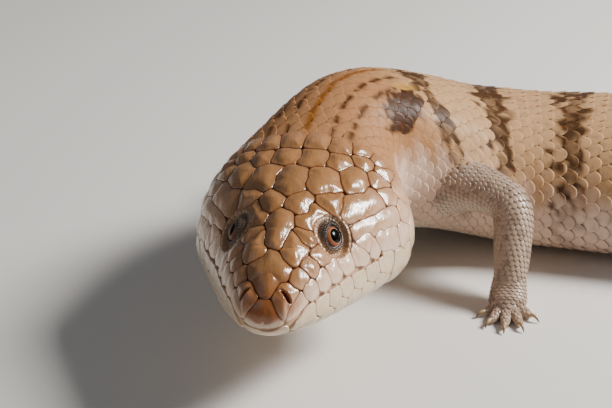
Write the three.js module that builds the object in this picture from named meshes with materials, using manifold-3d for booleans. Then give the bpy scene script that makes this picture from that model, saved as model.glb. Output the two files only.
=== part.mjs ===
// A blue-tongued skink at life size, as a still museum model: an adult 520 mm long, standing alert. Its
// head and chest are raised on the forelegs, its belly and tail lie on the floor and it bends to its left.
// Millimetres, +Z up. The snout points along -Y and the animal's left side is +X. The origin is on the
// flat under the belly, where the spine passes over it.
import * as THREE from "three";
import { mergeVertices } from "three/addons/utils/BufferGeometryUtils.js";
import Module from "manifold-3d";

const wasm = await Module();
wasm.setup();

// Driving sizes. s is the distance along the spine from the snout's tip, in millimetres.
const LENGTH = 520;
const MOUTH_HEIGHT = 27; // the line of the mouth over the floor: heights below are counted from that line
const GAP = 0.3; // between pieces that touch
const BELLY = 200; // s of the origin
const NECK_END = 86;
const CUTS = [64, NECK_END, 150, 222, 318, 385, 455]; // s of the thin cuts between the lengths of the body
const LENGTH_NAMES = [
  "neck", "torso_front", "torso_middle", "torso_rear", "tail_base", "tail_middle", "tail_tip",
];

// The spine's heading seen from above, in degrees from +X, as it runs from the snout to the tail.
const HEADING = [
  [0, 90], [50, 90], [66, 82], [84, 66], [104, 44], [126, 22], [150, 4], [180, -4], [215, -4], [250, 4],
  [290, 24], [330, 46], [400, 80], [470, 100], [520, 104],
];
// Heights of the back and of the underside over the line of the mouth.
const BACK = [
  [0, 1.5], [0.6, 3.4], [2, 5.4], [4.5, 7.4], [8.5, 10], [13.5, 12.6], [20, 15.4], [26, 17.4], [33, 19.4],
  [40, 20.8], [48, 22], [58, 24.2], [70, 27.6], [82, 29.2], [94, 27.8], [106, 24.2], [118, 19.4], [133, 13.6],
  [152, 11], [200, 11], [260, 9], [300, 4.5], [330, -2], [400, -9.5], [460, -16.5], [500, -21.5], [520, -25.2],
];
const UNDERSIDE = [
  [0, -1], [0.8, -2.4], [3, -4.2], [8, -6.2], [20, -8.8], [35, -11.2], [46, -12.4], [60, -11.6], [72, -12.6],
  [86, -16], [105, -20.5], [125, -25.2], [142, -27.6], [200, -28.2], [300, -28], [340, -27.5],
  [520, -27.2],
];
// Half the width, and the height at which the body is widest.
const HALF_WIDTH = [
  [0, 1.6], [0.8, 3.8], [3, 6.8], [6, 9], [10, 11.6], [15, 14.4], [20, 16.8], [24, 18.8], [30, 21.8],
  [36, 24.6], [42, 26.8], [48, 27.6], [54, 26.8], [60, 24.6], [68, 21.2], [78, 20], [90, 22.2], [110, 26],
  [140, 29.5], [200, 32.5], [250, 31.5], [285, 27], [310, 22], [330, 18], [360, 15.2], [400, 12], [450, 8],
  [490, 4.6], [514, 1.8], [520, 0.8],
];
const WIDEST = [
  [0, 0], [5, -0.6], [15, -1.6], [24, -2.2], [36, -2], [48, -0.5], [60, 3], [74, 5], [90, 2.5], [106, -2],
  [130, -9], [170, -13], [260, -13.5], [330, -15.5], [400, -19.5], [460, -22.5], [520, -26.2],
];
// Exponents of the section's upper and lower halves: 2 is an ellipse, more is boxier and less is keeled.
const UPPER_FORM = [
  [0, 2], [8, 2.2], [15, 1.9], [24, 1.68], [34, 1.85], [46, 2.05], [60, 2.1], [100, 2.1], [200, 2.15],
  [330, 2], [520, 2],
];
const LOWER_FORM = [[0, 2], [20, 2.3], [48, 2.5], [80, 2.2], [130, 2.5], [200, 2.7], [330, 2.3], [520, 2]];
// The line of the mouth, as heights along the side of the head, to the corner behind the eye.
const MOUTH = [[-3, -1.6], [0, -1], [2, 0.3], [8, 2.3], [14, 2.5], [20, 2.6], [28, 2], [33, 2.2]];

// A smooth curve through a table's points that never swings past them (a monotone cubic).
function curve(table) {
  const x = table.map((row) => row[0]);
  const y = table.map((row) => row[1]);
  const step = x.slice(1).map((v, i) => v - x[i]);
  const rise = step.map((h, i) => (y[i + 1] - y[i]) / h);
  const slope = x.map((_, i) => {
    if (i === 0) return rise[0];
    if (i === x.length - 1) return rise[i - 1];
    if (rise[i - 1] * rise[i] <= 0) return 0;
    const before = 2 * step[i] + step[i - 1];
    const after = step[i] + 2 * step[i - 1];
    return (before + after) / (before / rise[i - 1] + after / rise[i]);
  });
  return (at) => {
    const q = Math.min(Math.max(at, x[0]), x[x.length - 1]);
    let i = 0;
    while (i < x.length - 2 && q >= x[i + 1]) i++;
    const u = (q - x[i]) / step[i];
    return (
      y[i] * (1 + 2 * u) * (1 - u) ** 2 +
      step[i] * slope[i] * u * (1 - u) ** 2 +
      y[i + 1] * u * u * (3 - 2 * u) +
      step[i] * slope[i + 1] * u * u * (u - 1)
    );
  };
}
const heading = curve(HEADING);
const back = curve(BACK);
const underside = curve(UNDERSIDE);
const halfWidth = curve(HALF_WIDTH);
const widest = curve(WIDEST);
const upperForm = curve(UPPER_FORM);
const lowerForm = curve(LOWER_FORM);
const mouth = curve(MOUTH);

// The spine seen from above: the heading summed in half-millimetre steps, with the origin at BELLY.
const SPINE_STEP = 0.5;
const spineTable = [new THREE.Vector2(0, 0)];
for (let s = 0; s < LENGTH; s += SPINE_STEP) {
  const a = THREE.MathUtils.degToRad(heading(s + SPINE_STEP / 2));
  const last = spineTable[spineTable.length - 1];
  spineTable.push(new THREE.Vector2(last.x + SPINE_STEP * Math.cos(a), last.y + SPINE_STEP * Math.sin(a)));
}
const bellyPoint = spineTable[BELLY / SPINE_STEP].clone();
spineTable.forEach((p) => p.sub(bellyPoint));

// The spine's place over the floor plan, the way to the animal's left and the way ahead to its snout.
function station(s) {
  const q = Math.min(Math.max(s, 0), LENGTH) / SPINE_STEP;
  const i = Math.min(Math.floor(q), spineTable.length - 2);
  const at = spineTable[i].clone().lerp(spineTable[i + 1], q - i);
  const a = THREE.MathUtils.degToRad(heading(s));
  return {
    at: new THREE.Vector3(at.x, at.y, 0),
    left: new THREE.Vector3(Math.sin(a), -Math.cos(a), 0),
    ahead: new THREE.Vector3(-Math.cos(a), -Math.sin(a), 0),
  };
}

// A point of the skin at s, at an angle round the section: 0 is the left side and a quarter turn the back.
// grow moves it outwards. The floor flattens whatever would reach below it.
function skin(s, angle, grow = 0) {
  const { at, left } = station(s);
  const upper = Math.sin(angle) >= 0;
  const power = 2 / (upper ? upperForm(s) : lowerForm(s));
  const half = halfWidth(s) + grow;
  const rise = upper ? back(s) + grow - widest(s) : widest(s) - underside(s) + grow;
  const across = half * Math.sign(Math.cos(angle)) * Math.abs(Math.cos(angle)) ** power;
  const height = widest(s) + rise * Math.sign(Math.sin(angle)) * Math.abs(Math.sin(angle)) ** power;
  return at.addScaledVector(left, across).setZ(Math.max(height + MOUTH_HEIGHT, 0));
}
const normalAt = (s, angle) => {
  const d = 0.02;
  const along = skin(s + d, angle).sub(skin(s - d, angle));
  const round = skin(s, angle + d).sub(skin(s, angle - d));
  return round.cross(along).normalize().negate();
};
// The angle of a point across the back, x from the midline, or at a height on the side.
const angleAcross = (s, x) => {
  const share = Math.min(Math.abs(x) / halfWidth(s), 1) ** (upperForm(s) / 2);
  return x < 0 ? Math.PI - Math.acos(share) : Math.acos(share);
};
const angleUp = (s, z, side) => {
  const upper = z >= widest(s);
  const reach = upper ? back(s) - widest(s) : widest(s) - underside(s);
  const share = Math.min(Math.abs(z - widest(s)) / reach, 1) ** ((upper ? upperForm(s) : lowerForm(s)) / 2);
  const angle = Math.asin(share) * (upper ? 1 : -1);
  return side > 0 ? angle : Math.PI - angle;
};

// A closed solid from rings of points: each ring has as many points as the next, and both ends are closed
// by fans to the points given.
function solidFromRings(rings, first, last) {
  const n = rings[0].length;
  const points = [...rings.flat(), first, last];
  const faces = [];
  for (let i = 0; i < rings.length - 1; i++)
    for (let j = 0; j < n; j++) {
      const a = i * n + j;
      const b = i * n + ((j + 1) % n);
      faces.push(a, b, a + n, b, b + n, a + n);
    }
  for (let j = 0; j < n; j++) {
    const k = (j + 1) % n;
    faces.push(points.length - 2, k, j);
    faces.push(points.length - 1, (rings.length - 1) * n + j, (rings.length - 1) * n + k);
  }
  return solid(points, faces);
}
function solid(points, faces) {
  const made = new wasm.Manifold(
    new wasm.Mesh({
      numProp: 3,
      vertProperties: new Float32Array(points.flatMap((p) => [p.x, p.y, p.z])),
      triVerts: new Uint32Array(faces),
    }),
  );
  if (made.volume() > 0) return made;
  const turned = [];
  for (let i = 0; i < faces.length; i += 3) turned.push(faces[i], faces[i + 2], faces[i + 1]);
  return solid(points, turned);
}
function solidOfGeometry(geometry) {
  const bare = geometry.clone();
  bare.deleteAttribute("normal");
  bare.deleteAttribute("uv");
  const merged = mergeVertices(bare, 1e-4);
  const at = merged.getAttribute("position");
  const points = Array.from({ length: at.count }, (_, i) => new THREE.Vector3().fromBufferAttribute(at, i));
  return solid(points, [...merged.index.array]);
}
const middleOf = (ring) => ring.reduce((sum, p) => sum.add(p), new THREE.Vector3()).divideScalar(ring.length);
function spread(from, to, count) {
  return Array.from({ length: count }, (_, i) => from + ((to - from) * i) / (count - 1));
}
// Evenly spaced angles round a full turn.
const turn = (count) => Array.from({ length: count }, (_, i) => (2 * Math.PI * i) / count);

// A length of the body from one s to another, its ends flat and square to the spine.
function bodyLength(stations, around, grow = 0) {
  const rings = stations.map((s) => turn(around).map((a) => skin(s, a, grow)));
  return solidFromRings(rings, middleOf(rings[0]), middleOf(rings[rings.length - 1]));
}

// The head's shields. Each is the stretch of skin nearer to its own seed points than to any other's.
// A top shield's seeds are [s, x across from the midline] and a side one's [s, height over the mouth line].
const TOP_SHIELDS = {
  nasal: [[3.2, 3]],
  frontonasal: [[8, 0]],
  prefrontal: [[12.8, 4.6]],
  frontal: [[17, 0], [21.4, 0]],
  supraocular_first: [[19, 6.6]],
  supraocular_second: [[24.6, 7.2]],
  supraocular_third: [[30, 8.8]],
  frontoparietal: [[29.2, 3.7]],
  interparietal: [[34.6, 0]],
  parietal: [[36, 7.2], [39, 7.6]],
  nuchal_first: [[45.4, 3.7], [48.6, 4]],
  nuchal_second: [[47.2, 10]],
  nuchal_third: [[55.4, 3.4]],
  nuchal_fourth: [[54, 10.6]],
  temporal_upper: [[40.6, 14.2], [42.6, 14.6]],
  temporal_rear: [[49.6, 16.8]],
  temporal_edge: [[57, 17]],
};
const SIDE_SHIELDS = {
  loreal_front: [[8.6, 7.4]],
  loreal_rear: [[13, 8.6]],
  preocular: [[17.4, 9.4]],
  temporal_first: [[34, 12.6], [37.6, 12]],
  temporal_second: [[35.6, 7.8], [40, 7.6]],
  temporal_third: [[44, 12.2]],
  temporal_fourth: [[46.4, 6.6]],
  temporal_fifth: [[51.6, 11.4]],
  cheek_first: [[37.6, 3.4]],
  cheek_second: [[43.4, 1.6]],
  cheek_third: [[40, -3.2]],
  cheek_fourth: [[49, 0.6]],
};
// The rows along the lips: one above the line of the mouth and one below it, in step with each other.
const LABIAL_STATIONS = [4.2, 8.4, 12.8, 17.4, 22.2, 27, 31.8];
const LABIAL_OFF = 3; // from the line of the mouth
LABIAL_STATIONS.forEach((s, i) => {
  SIDE_SHIELDS["labial_upper_" + (i + 1)] = [[s, mouth(s) + LABIAL_OFF]];
  SIDE_SHIELDS["labial_lower_" + (i + 1)] = [[s, mouth(s) - LABIAL_OFF]];
});
[9, 15.4, 22, 28.6].forEach((s, i) => {
  SIDE_SHIELDS["chin_" + (i + 1)] = [[s, underside(s) + 1.2]];
});
const EYE_S = 24.6;
const EYE_UP = 11;
const GROOVE = 0.5; // between neighbouring shields
const SHIELD_RISE = 0.65;
const SHIELD_CROWN = 0.45; // how much higher its middle stands than its rim
const SHIELD_ROOT = 1.1; // how deep it is sunk in the head
const SHIELD_REACH = 6.5; // the most that its rim stands from its middle
const SHIELD_SIDES = 8;

function shieldSeeds() {
  const all = [];
  for (const side of [1, -1]) {
    for (const [name, seeds] of Object.entries(TOP_SHIELDS)) {
      const middle = seeds[0][1] === 0;
      if (middle && side < 0) continue;
      all.push({ name, seeds: seeds.map(([s, x]) => [s, angleAcross(s, side * x)]) });
    }
    for (const [name, seeds] of Object.entries(SIDE_SHIELDS))
      all.push({ name, seeds: seeds.map(([s, z]) => [s, angleUp(s, z, side)]) });
    all.push({ name: "lids", seeds: [[EYE_S, angleUp(EYE_S, EYE_UP, side)]] });
  }
  all.push({ name: "rostral", seeds: [[0.2, Math.PI / 2]] });
  all.push({ name: "mental", seeds: [[0.6, -Math.PI / 2]] });
  all.forEach((shield) => {
    shield.points = shield.seeds.map(([s, a]) => skin(s, a));
  });
  return all;
}
const shields = shieldSeeds();

// How far a point is inside its own shield's border with the nearest other shield.
function insideBorder(point, own) {
  const apartFrom = (p) => p.distanceToSquared(point);
  const mine = own.points.reduce((best, p) => (apartFrom(p) < apartFrom(best) ? p : best));
  let least = Infinity;
  for (const other of shields) {
    if (other === own) continue;
    for (const theirs of other.points) {
      const apart = theirs.distanceTo(mine);
      const further = theirs.distanceToSquared(point) - mine.distanceToSquared(point);
      least = Math.min(least, further / (2 * apart));
    }
  }
  return least;
}
// A shield as a low dome: its outline is found by walking out from its middle until a groove is reached.
function shieldSolid(shield) {
  const s0 = shield.seeds.reduce((sum, seed) => sum + seed[0], 0) / shield.seeds.length;
  const a0 = shield.seeds.reduce((sum, seed) => sum + seed[1], 0) / shield.seeds.length;
  const d = 0.02;
  const perAngle = skin(s0, a0 + d).distanceTo(skin(s0, a0 - d)) / (2 * d);
  const perS = skin(s0 + d, a0).distanceTo(skin(s0 - d, a0)) / (2 * d);
  const reach = SHIELD_REACH + (shield.seeds.length - 1) * 2;
  const place = (way, r) => [s0 + (r * Math.cos(way)) / perS, a0 + (r * Math.sin(way)) / perAngle];
  const outline = turn(SHIELD_SIDES).map((way) => {
    let r = 0.6;
    while (r < reach && insideBorder(skin(...place(way, r)), shield) > GROOVE / 2) r += 0.1;
    return place(way, r);
  });
  const raised = (s, a, by) => skin(s, a).addScaledVector(normalAt(s, a), by);
  const rim = outline.map(([s, a]) => raised(s, a, SHIELD_RISE));
  const root = outline.map(([s, a]) => raised(s, a, -SHIELD_ROOT));
  return solidFromRings([rim, root], raised(s0, a0, SHIELD_RISE + SHIELD_CROWN), middleOf(root));
}

// The rostral and mental shields wrap the tip of the snout, so they are one cap, parted by the mouth.
function snoutCap() {
  const stations = [0, 0.8, 1.9];
  const rings = stations.map((s) => turn(18).map((a) => skin(s, a, SHIELD_RISE)));
  const tip = middleOf(rings[0]).addScaledVector(station(0).ahead, SHIELD_RISE);
  return solidFromRings(rings, tip, middleOf(rings[2]));
}

// The eye: a ball set in the side of the head, under a shell of lids with an oval opening.
const EYE_RADIUS = 4.1;
const EYE_SUNK = 3.3; // its middle, below the skin
const LID_THICKNESS = 0.9;
const LID_OPENING = [3.1, 2.5]; // half its length and half its height
const EYE_TILT = 0.3; // how much the opening rises to the rear, in radians
function eyeFrame(side) {
  const angle = angleUp(EYE_S, EYE_UP, side);
  const out = normalAt(EYE_S, angle);
  const at = skin(EYE_S, angle).addScaledVector(out, -EYE_SUNK);
  const along = new THREE.Vector3(0, Math.cos(EYE_TILT), Math.sin(EYE_TILT));
  along.addScaledVector(out, -along.dot(out)).normalize();
  return { at, frame: new THREE.Matrix4().makeBasis(along, out.clone().cross(along), out).setPosition(at) };
}
const ball = (radius, at, around, down) =>
  solidOfGeometry(new THREE.SphereGeometry(radius, around, down).translate(at.x, at.y, at.z));
function lidOpening(side) {
  const oval = new THREE.CylinderGeometry(1, 0.7, 8, 16, 1).rotateX(Math.PI / 2).translate(0, 0, 4.6);
  oval.scale(LID_OPENING[0], LID_OPENING[1], 1);
  return solidOfGeometry(oval.applyMatrix4(eyeFrame(side).frame));
}

// A nostril is a slanting pit in the nasal shield, and an ear an upright oval cup behind the jaw.
const NOSTRIL = { s: 3.9, up: 5.4, size: [0.75, 1.15, 1.5] };
const EAR = { s: 57.2, up: 6.5, size: [2, 3.1, 3.2] };
function pit({ s, up, size }, side) {
  const angle = angleUp(s, up, side);
  const at = skin(s, angle);
  const out = normalAt(s, angle);
  const along = new THREE.Vector3(0, 1, 0).addScaledVector(out, -out.y).normalize();
  const frame = new THREE.Matrix4().makeBasis(along, out.clone().cross(along), out).setPosition(at);
  return solidOfGeometry(new THREE.SphereGeometry(1, 10, 6).scale(...size).applyMatrix4(frame));
}

// The space of the lower jaw: below the line of the mouth and ahead of its corner.
function jawSpace(grow) {
  const line = spread(-3, MOUTH[MOUTH.length - 1][0], 13).map((s) => new THREE.Vector2(s, mouth(s) + grow));
  const corner = line[line.length - 1];
  corner.x += grow;
  const shape = new THREE.Shape([
    ...line,
    new THREE.Vector2(corner.x + 2.4, corner.y - 7),
    new THREE.Vector2(corner.x + 3.4, -20),
    new THREE.Vector2(-3, -20),
  ]);
  const slab = new THREE.ExtrudeGeometry(shape, { depth: 90, bevelEnabled: false, steps: 1 });
  const { at } = station(0);
  const frame = new THREE.Matrix4().makeBasis(
    new THREE.Vector3(0, 1, 0),
    new THREE.Vector3(0, 0, 1),
    new THREE.Vector3(1, 0, 0),
  );
  frame.setPosition(at.x - 45, at.y, MOUTH_HEIGHT);
  return solidOfGeometry(slab.applyMatrix4(frame));
}

const joined = (solids) => wasm.Manifold.union(solids);
// Keeps the largest closed body of a cut solid.
function largest(made) {
  return made.decompose().reduce((best, part) => (part.volume() > best.volume() ? part : best));
}

function headAndJaw() {
  const stations = [0, 0.8, 2, 4, 7.5, 12, 17, 23, 29, 35, 41, 47, 53, 59];
  const base = bodyLength([...stations, CUTS[0] - GAP / 2], 28);
  const plates = shields
    .filter(({ name }) => !["lids", "rostral", "mental"].includes(name))
    .map((shield) => shieldSolid(shield));
  const lids = [1, -1].map((side) => ball(EYE_RADIUS + GAP + LID_THICKNESS, eyeFrame(side).at, 16, 12));
  const cuts = [1, -1].flatMap((side) => [
    ball(EYE_RADIUS + GAP, eyeFrame(side).at, 16, 12),
    lidOpening(side),
    pit(NOSTRIL, side),
    pit(EAR, side),
  ]);
  const whole = joined([base, ...plates, snoutCap(), ...lids]).subtract(joined(cuts));
  return {
    head: largest(whole.subtract(jawSpace(GAP / 2))),
    lower_jaw: largest(whole.intersect(jawSpace(-GAP / 2))),
  };
}

// A tube along a smooth path through its joints: flat squashes it, and the floor flattens what would reach
// below it.
function tube(joints, radii, steps, around, flat = 1) {
  const path = new THREE.CatmullRomCurve3(joints, false, "centripetal");
  const { normals, binormals } = path.computeFrenetFrames(steps - 1, false);
  const radius = curve(radii.map((r, i) => [i / (radii.length - 1), r]));
  const rings = spread(0, 1, steps).map((u, i) => {
    const at = path.getPointAt(u);
    return turn(around).map((a) => {
      const p = at.clone().addScaledVector(normals[i], radius(u) * Math.cos(a));
      p.addScaledVector(binormals[i], radius(u) * Math.sin(a));
      return p.setZ(Math.max(at.z + (p.z - at.z) * flat, 0));
    });
  });
  const end = path.getPointAt(1).addScaledVector(path.getTangentAt(1), radius(1) * 0.6);
  end.z = Math.max(end.z, 0.2);
  return solidFromRings(rings, middleOf(rings[0]), end);
}

// Each leg: joints are [ahead, out, height over the floor] from the spine at s, then the foot's way of
// pointing in degrees outwards from straight ahead. Toes run from the inner to the outer one.
const FORE_TOES = [[-52, 4.6], [-24, 6.8], [0, 8], [23, 7.4], [54, 5.2]];
const HIND_TOES = [[-46, 4.4], [-22, 6.8], [-2, 8.8], [18, 10], [48, 6.6]];
const FORE_RADII = [7, 6.2, 5.9, 5.3, 4.2];
const HIND_RADII = [9.4, 8, 6.7, 5.4, 4.3];
const LEGS = {
  foreleg_left: {
    s: 96, side: 1, radii: FORE_RADII, toes: FORE_TOES, points: 37,
    joints: [[-3, 13, 22], [-8, 29.5, 25.5], [-10, 40.5, 23], [-5, 46, 14], [-0.5, 49, 5.6]],
  },
  foreleg_right: {
    s: 98, side: -1, radii: FORE_RADII, toes: FORE_TOES, points: 34,
    joints: [[0, 12, 19], [-4, 30, 21], [-7, 41, 18], [-1, 44, 11], [4, 45, 5.4]],
  },
  hindleg_left: {
    s: 300, side: 1, radii: HIND_RADII, toes: HIND_TOES, points: 62,
    joints: [[-2, 8, 14], [8, 30, 15], [13, 41, 13], [4, 48, 8], [-4, 53, 5]],
  },
  hindleg_right: {
    s: 300, side: -1, radii: HIND_RADII, toes: HIND_TOES, points: 40,
    joints: [[-2, 8, 14], [5, 30, 15], [8, 42, 13], [-2, 48, 8], [-10, 51, 5]],
  },
};
const SOLE_WIDTH = 5.2;
const PALM_LENGTH = 6;
const TOE_ROOT = 2.6; // from the middle of the palm to the toes' own length
const TOE_RADII = [1.9, 1.75, 1.55, 1.25];
const CLAW_LENGTH = 3.2;
const CLAW_RADII = [0.85, 0.6, 0.22];
function legSolids({ s, side, joints, radii, toes, points }) {
  const { at, left, ahead } = station(s);
  const out = left.clone().multiplyScalar(side);
  const inWorld = ([a, o, z]) => at.clone().addScaledVector(ahead, a).addScaledVector(out, o).setZ(z);
  const limb = joints.map(inWorld);
  const wrist = limb[limb.length - 1];
  const towards = (degrees) => {
    const bearing = THREE.MathUtils.degToRad(points + degrees);
    return ahead.clone().multiplyScalar(Math.cos(bearing)).addScaledVector(out, Math.sin(bearing));
  };
  const along = towards(0);
  const aheadOfWrist = (r, z) => wrist.clone().addScaledVector(along, r).setZ(z);
  const palm = [aheadOfWrist(-2.5, wrist.z), aheadOfWrist(2, 3.4), aheadOfWrist(PALM_LENGTH, 2.4)];
  const pieces = [tube(palm, [radii[4], SOLE_WIDTH, SOLE_WIDTH * 0.8], 4, 12, 0.6)];
  for (const [degrees, length] of toes) {
    const way = towards(degrees);
    const on = (r, z) => aheadOfWrist(PALM_LENGTH * 0.45, 0).addScaledVector(way, r).setZ(z);
    const tip = TOE_ROOT + length;
    const toe = [on(1, 2.2), on(TOE_ROOT, 2), on(TOE_ROOT + length / 2, 1.6), on(tip, 1.1)];
    const claw = [on(tip - 0.8, 1.4), on(tip + CLAW_LENGTH / 2, 1.5), on(tip + CLAW_LENGTH, 0.5)];
    pieces.push(tube(toe, TOE_RADII, 5, 6), tube(claw, CLAW_RADII, 3, 5));
  }
  const body = bodyLength(spread(70, 340, 46), 30, GAP);
  // The foot meets the leg at an upright face across the wrist.
  const face = aheadOfWrist(-1, wrist.z);
  const footSpace = new THREE.BoxGeometry(40, 16, 30).translate(20, 0, 0);
  const across = new THREE.Vector3(-along.y, along.x, 0);
  const frame = new THREE.Matrix4().makeBasis(along, across, new THREE.Vector3(0, 0, 1));
  frame.setPosition(face.clone().addScaledVector(along, -GAP / 2));
  const cuts = joined([body, solidOfGeometry(footSpace.applyMatrix4(frame))]);
  return {
    leg: largest(tube(limb, radii, 11, 12).subtract(cuts)),
    foot: largest(joined(pieces).subtract(body).trimByPlane(along.toArray(), along.dot(face) + GAP / 2)),
  };
}

// The finishes: dry, satin skin in a pale pinkish tan, paler under the jaw, and a glossy rust-coloured eye.
const finish = (color, roughness) => new THREE.MeshStandardMaterial({ color, roughness, metalness: 0 });
const BACK_SKIN = finish("#b98f6f", 0.5);
const JAW_SKIN = finish("#dcc3ab", 0.45);
const LEG_SKIN = finish("#b7a48f", 0.5);
const EYE = finish("#a8502a", 0.1);

const model = new THREE.Group();
function add(name, made, material) {
  const mesh = made.getMesh();
  const geometry = new THREE.BufferGeometry();
  geometry.setAttribute("position", new THREE.BufferAttribute(mesh.vertProperties.slice(), 3));
  geometry.setIndex(new THREE.BufferAttribute(mesh.triVerts.slice(), 1));
  const node = new THREE.Mesh(geometry, material);
  node.name = name;
  model.add(node);
}

const { head, lower_jaw } = headAndJaw();
add("head", head, BACK_SKIN);
add("lower_jaw", lower_jaw, JAW_SKIN);
add("eye_left", ball(EYE_RADIUS, eyeFrame(1).at, 12, 8), EYE);
add("eye_right", ball(EYE_RADIUS, eyeFrame(-1).at, 12, 8), EYE);
LENGTH_NAMES.forEach((name, i) => {
  const from = CUTS[i] + GAP / 2;
  const to = i + 1 < CUTS.length ? CUTS[i + 1] - GAP / 2 : LENGTH;
  const count = Math.max(5, Math.round((to - from) / 7.5));
  add(name, bodyLength(spread(from, to, count), i < 4 ? 32 : 20), BACK_SKIN);
});
for (const [name, leg] of Object.entries(LEGS)) {
  const made = legSolids(leg);
  add(name, made.leg, LEG_SKIN);
  add(name.replace("leg", "foot"), made.foot, LEG_SKIN);
}

export default model;
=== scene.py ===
import bpy
import numpy as np
from mathutils import Matrix


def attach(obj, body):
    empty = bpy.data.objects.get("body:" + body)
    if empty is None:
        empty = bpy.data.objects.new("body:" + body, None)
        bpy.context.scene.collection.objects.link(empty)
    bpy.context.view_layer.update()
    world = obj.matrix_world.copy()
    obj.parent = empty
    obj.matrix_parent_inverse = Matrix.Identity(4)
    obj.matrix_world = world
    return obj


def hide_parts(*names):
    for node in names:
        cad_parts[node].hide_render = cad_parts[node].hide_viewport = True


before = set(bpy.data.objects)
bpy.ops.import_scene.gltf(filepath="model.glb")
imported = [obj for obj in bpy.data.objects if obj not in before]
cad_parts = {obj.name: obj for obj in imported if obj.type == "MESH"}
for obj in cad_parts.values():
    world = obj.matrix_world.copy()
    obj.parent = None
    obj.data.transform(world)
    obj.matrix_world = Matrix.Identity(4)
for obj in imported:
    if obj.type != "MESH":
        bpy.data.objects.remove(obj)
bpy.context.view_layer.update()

# The form of the body
# One smooth skin runs from the snout to the tail's tip over a bent spine. Lengths are in millimetres and heights
# are counted from the line of the mouth, which is MOUTH_HEIGHT over the floor; s is the way along the spine.
MM = 0.001
LENGTH = 520
MOUTH_HEIGHT = 27
BELLY = 200  # s of the origin
SPINE_STEP = 0.5
# Tables of (s, value): the spine's bearing in degrees, the heights of back, underside and widest line, half the
# width, and the powers that round the outline over and under the widest line.
HEADING = [(0, 90), (50, 90), (66, 82), (84, 66), (104, 44), (126, 22), (150, 4), (180, -4), (215, -4), (250, 4),
           (290, 24), (330, 46), (400, 80), (470, 100), (520, 104)]
BACK = [(0, 1.5), (0.6, 3.4), (2, 5.4), (4.5, 7.4), (8.5, 10), (13.5, 12.6), (20, 15.4), (26, 17.4), (33, 19.4),
        (40, 20.8), (48, 22), (58, 24.2), (70, 27.6), (82, 29.2), (94, 27.8), (106, 24.2), (118, 19.4),
        (133, 13.6), (152, 11), (200, 11), (260, 9), (300, 4.5), (330, -2), (400, -9.5), (460, -16.5),
        (500, -21.5), (520, -25.2)]
UNDERSIDE = [(0, -1), (0.8, -2.4), (3, -4.2), (8, -6.2), (20, -8.8), (35, -11.2), (46, -12.4), (60, -11.6),
             (72, -12.6), (86, -16), (105, -20.5), (125, -25.2), (142, -27.6), (200, -28.2), (300, -28),
             (340, -27.5), (520, -27.2)]
HALF_WIDTH = [(0, 1.6), (0.8, 3.8), (3, 6.8), (6, 9), (10, 11.6), (15, 14.4), (20, 16.8), (24, 18.8), (30, 21.8),
              (36, 24.6), (42, 26.8), (48, 27.6), (54, 26.8), (60, 24.6), (68, 21.2), (78, 20), (90, 22.2),
              (110, 26), (140, 29.5), (200, 32.5), (250, 31.5), (285, 27), (310, 22), (330, 18), (360, 15.2),
              (400, 12), (450, 8), (490, 4.6), (514, 1.8), (520, 0.8)]
WIDEST = [(0, 0), (5, -0.6), (15, -1.6), (24, -2.2), (36, -2), (48, -0.5), (60, 3), (74, 5), (90, 2.5),
          (106, -2), (130, -9), (170, -13), (260, -13.5), (330, -15.5), (400, -19.5), (460, -22.5), (520, -26.2)]
UPPER_FORM = [(0, 2), (8, 2.2), (15, 1.9), (24, 1.68), (34, 1.85), (46, 2.05), (60, 2.1), (100, 2.1), (200, 2.15),
              (330, 2), (520, 2)]
LOWER_FORM = [(0, 2), (20, 2.3), (48, 2.5), (80, 2.2), (130, 2.5), (200, 2.7), (330, 2.3), (520, 2)]


def curve(table):
    """A smooth curve through a table's points that never swings past them: a cubic between each two points,
    whose slope at an inner point is a harmonic mean of the slopes on its two sides, or 0 at a turn."""
    x, y = np.array(table, float).T
    step, rise = np.diff(x), np.diff(y) / np.diff(x)
    slope = np.concatenate([rise[:1], np.zeros(len(x) - 2), rise[-1:]])
    before, after = 2 * step[1:] + step[:-1], step[1:] + 2 * step[:-1]
    same = rise[:-1] * rise[1:] > 0
    slope[1:-1][same] = ((before + after)[same]
                         / (before[same] / rise[:-1][same] + after[same] / rise[1:][same]))
    return hermite(x, y, slope)


def hermite(x, y, slope):
    """The cubic between each two points of y over x that has the given slopes at them."""
    def at(q):
        """The cubic's value at q, which is held to the ends of x."""
        q = np.clip(np.asarray(q, float), x[0], x[-1])
        i = np.clip(np.searchsorted(x, q, side="right") - 1, 0, len(x) - 2)
        h = x[i + 1] - x[i]
        u = (q - x[i]) / h
        if y.ndim > 1:
            u, h = u[..., None], h[..., None]
        return (y[i] * (1 + 2 * u) * (1 - u) ** 2 + h * slope[i] * u * (1 - u) ** 2
                + y[i + 1] * u * u * (3 - 2 * u) + h * slope[i + 1] * u * u * (u - 1))
    return at


heading, back, underside = curve(HEADING), curve(BACK), curve(UNDERSIDE)
half_width, widest, upper_form, lower_form = curve(HALF_WIDTH), curve(WIDEST), curve(UPPER_FORM), curve(LOWER_FORM)
_turn = np.radians(heading(np.arange(0, LENGTH, SPINE_STEP) + SPINE_STEP / 2))
SPINE = np.concatenate([[[0, 0]], np.cumsum(SPINE_STEP * np.stack([np.cos(_turn), np.sin(_turn)], 1), 0)])
SPINE -= SPINE[int(BELLY / SPINE_STEP)]


def station(s):
    """The spine's place on the floor plan at s, the way to the animal's left and the way ahead to its snout."""
    way = np.radians(heading(s))
    knots = np.arange(len(SPINE)) * SPINE_STEP
    at = np.stack([np.interp(s, knots, SPINE[:, 0]), np.interp(s, knots, SPINE[:, 1]), 0 * way], -1)
    left = np.stack([np.sin(way), -np.cos(way), 0 * way], -1)
    return at, left, np.stack([-np.cos(way), -np.sin(way), 0 * way], -1)


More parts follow.
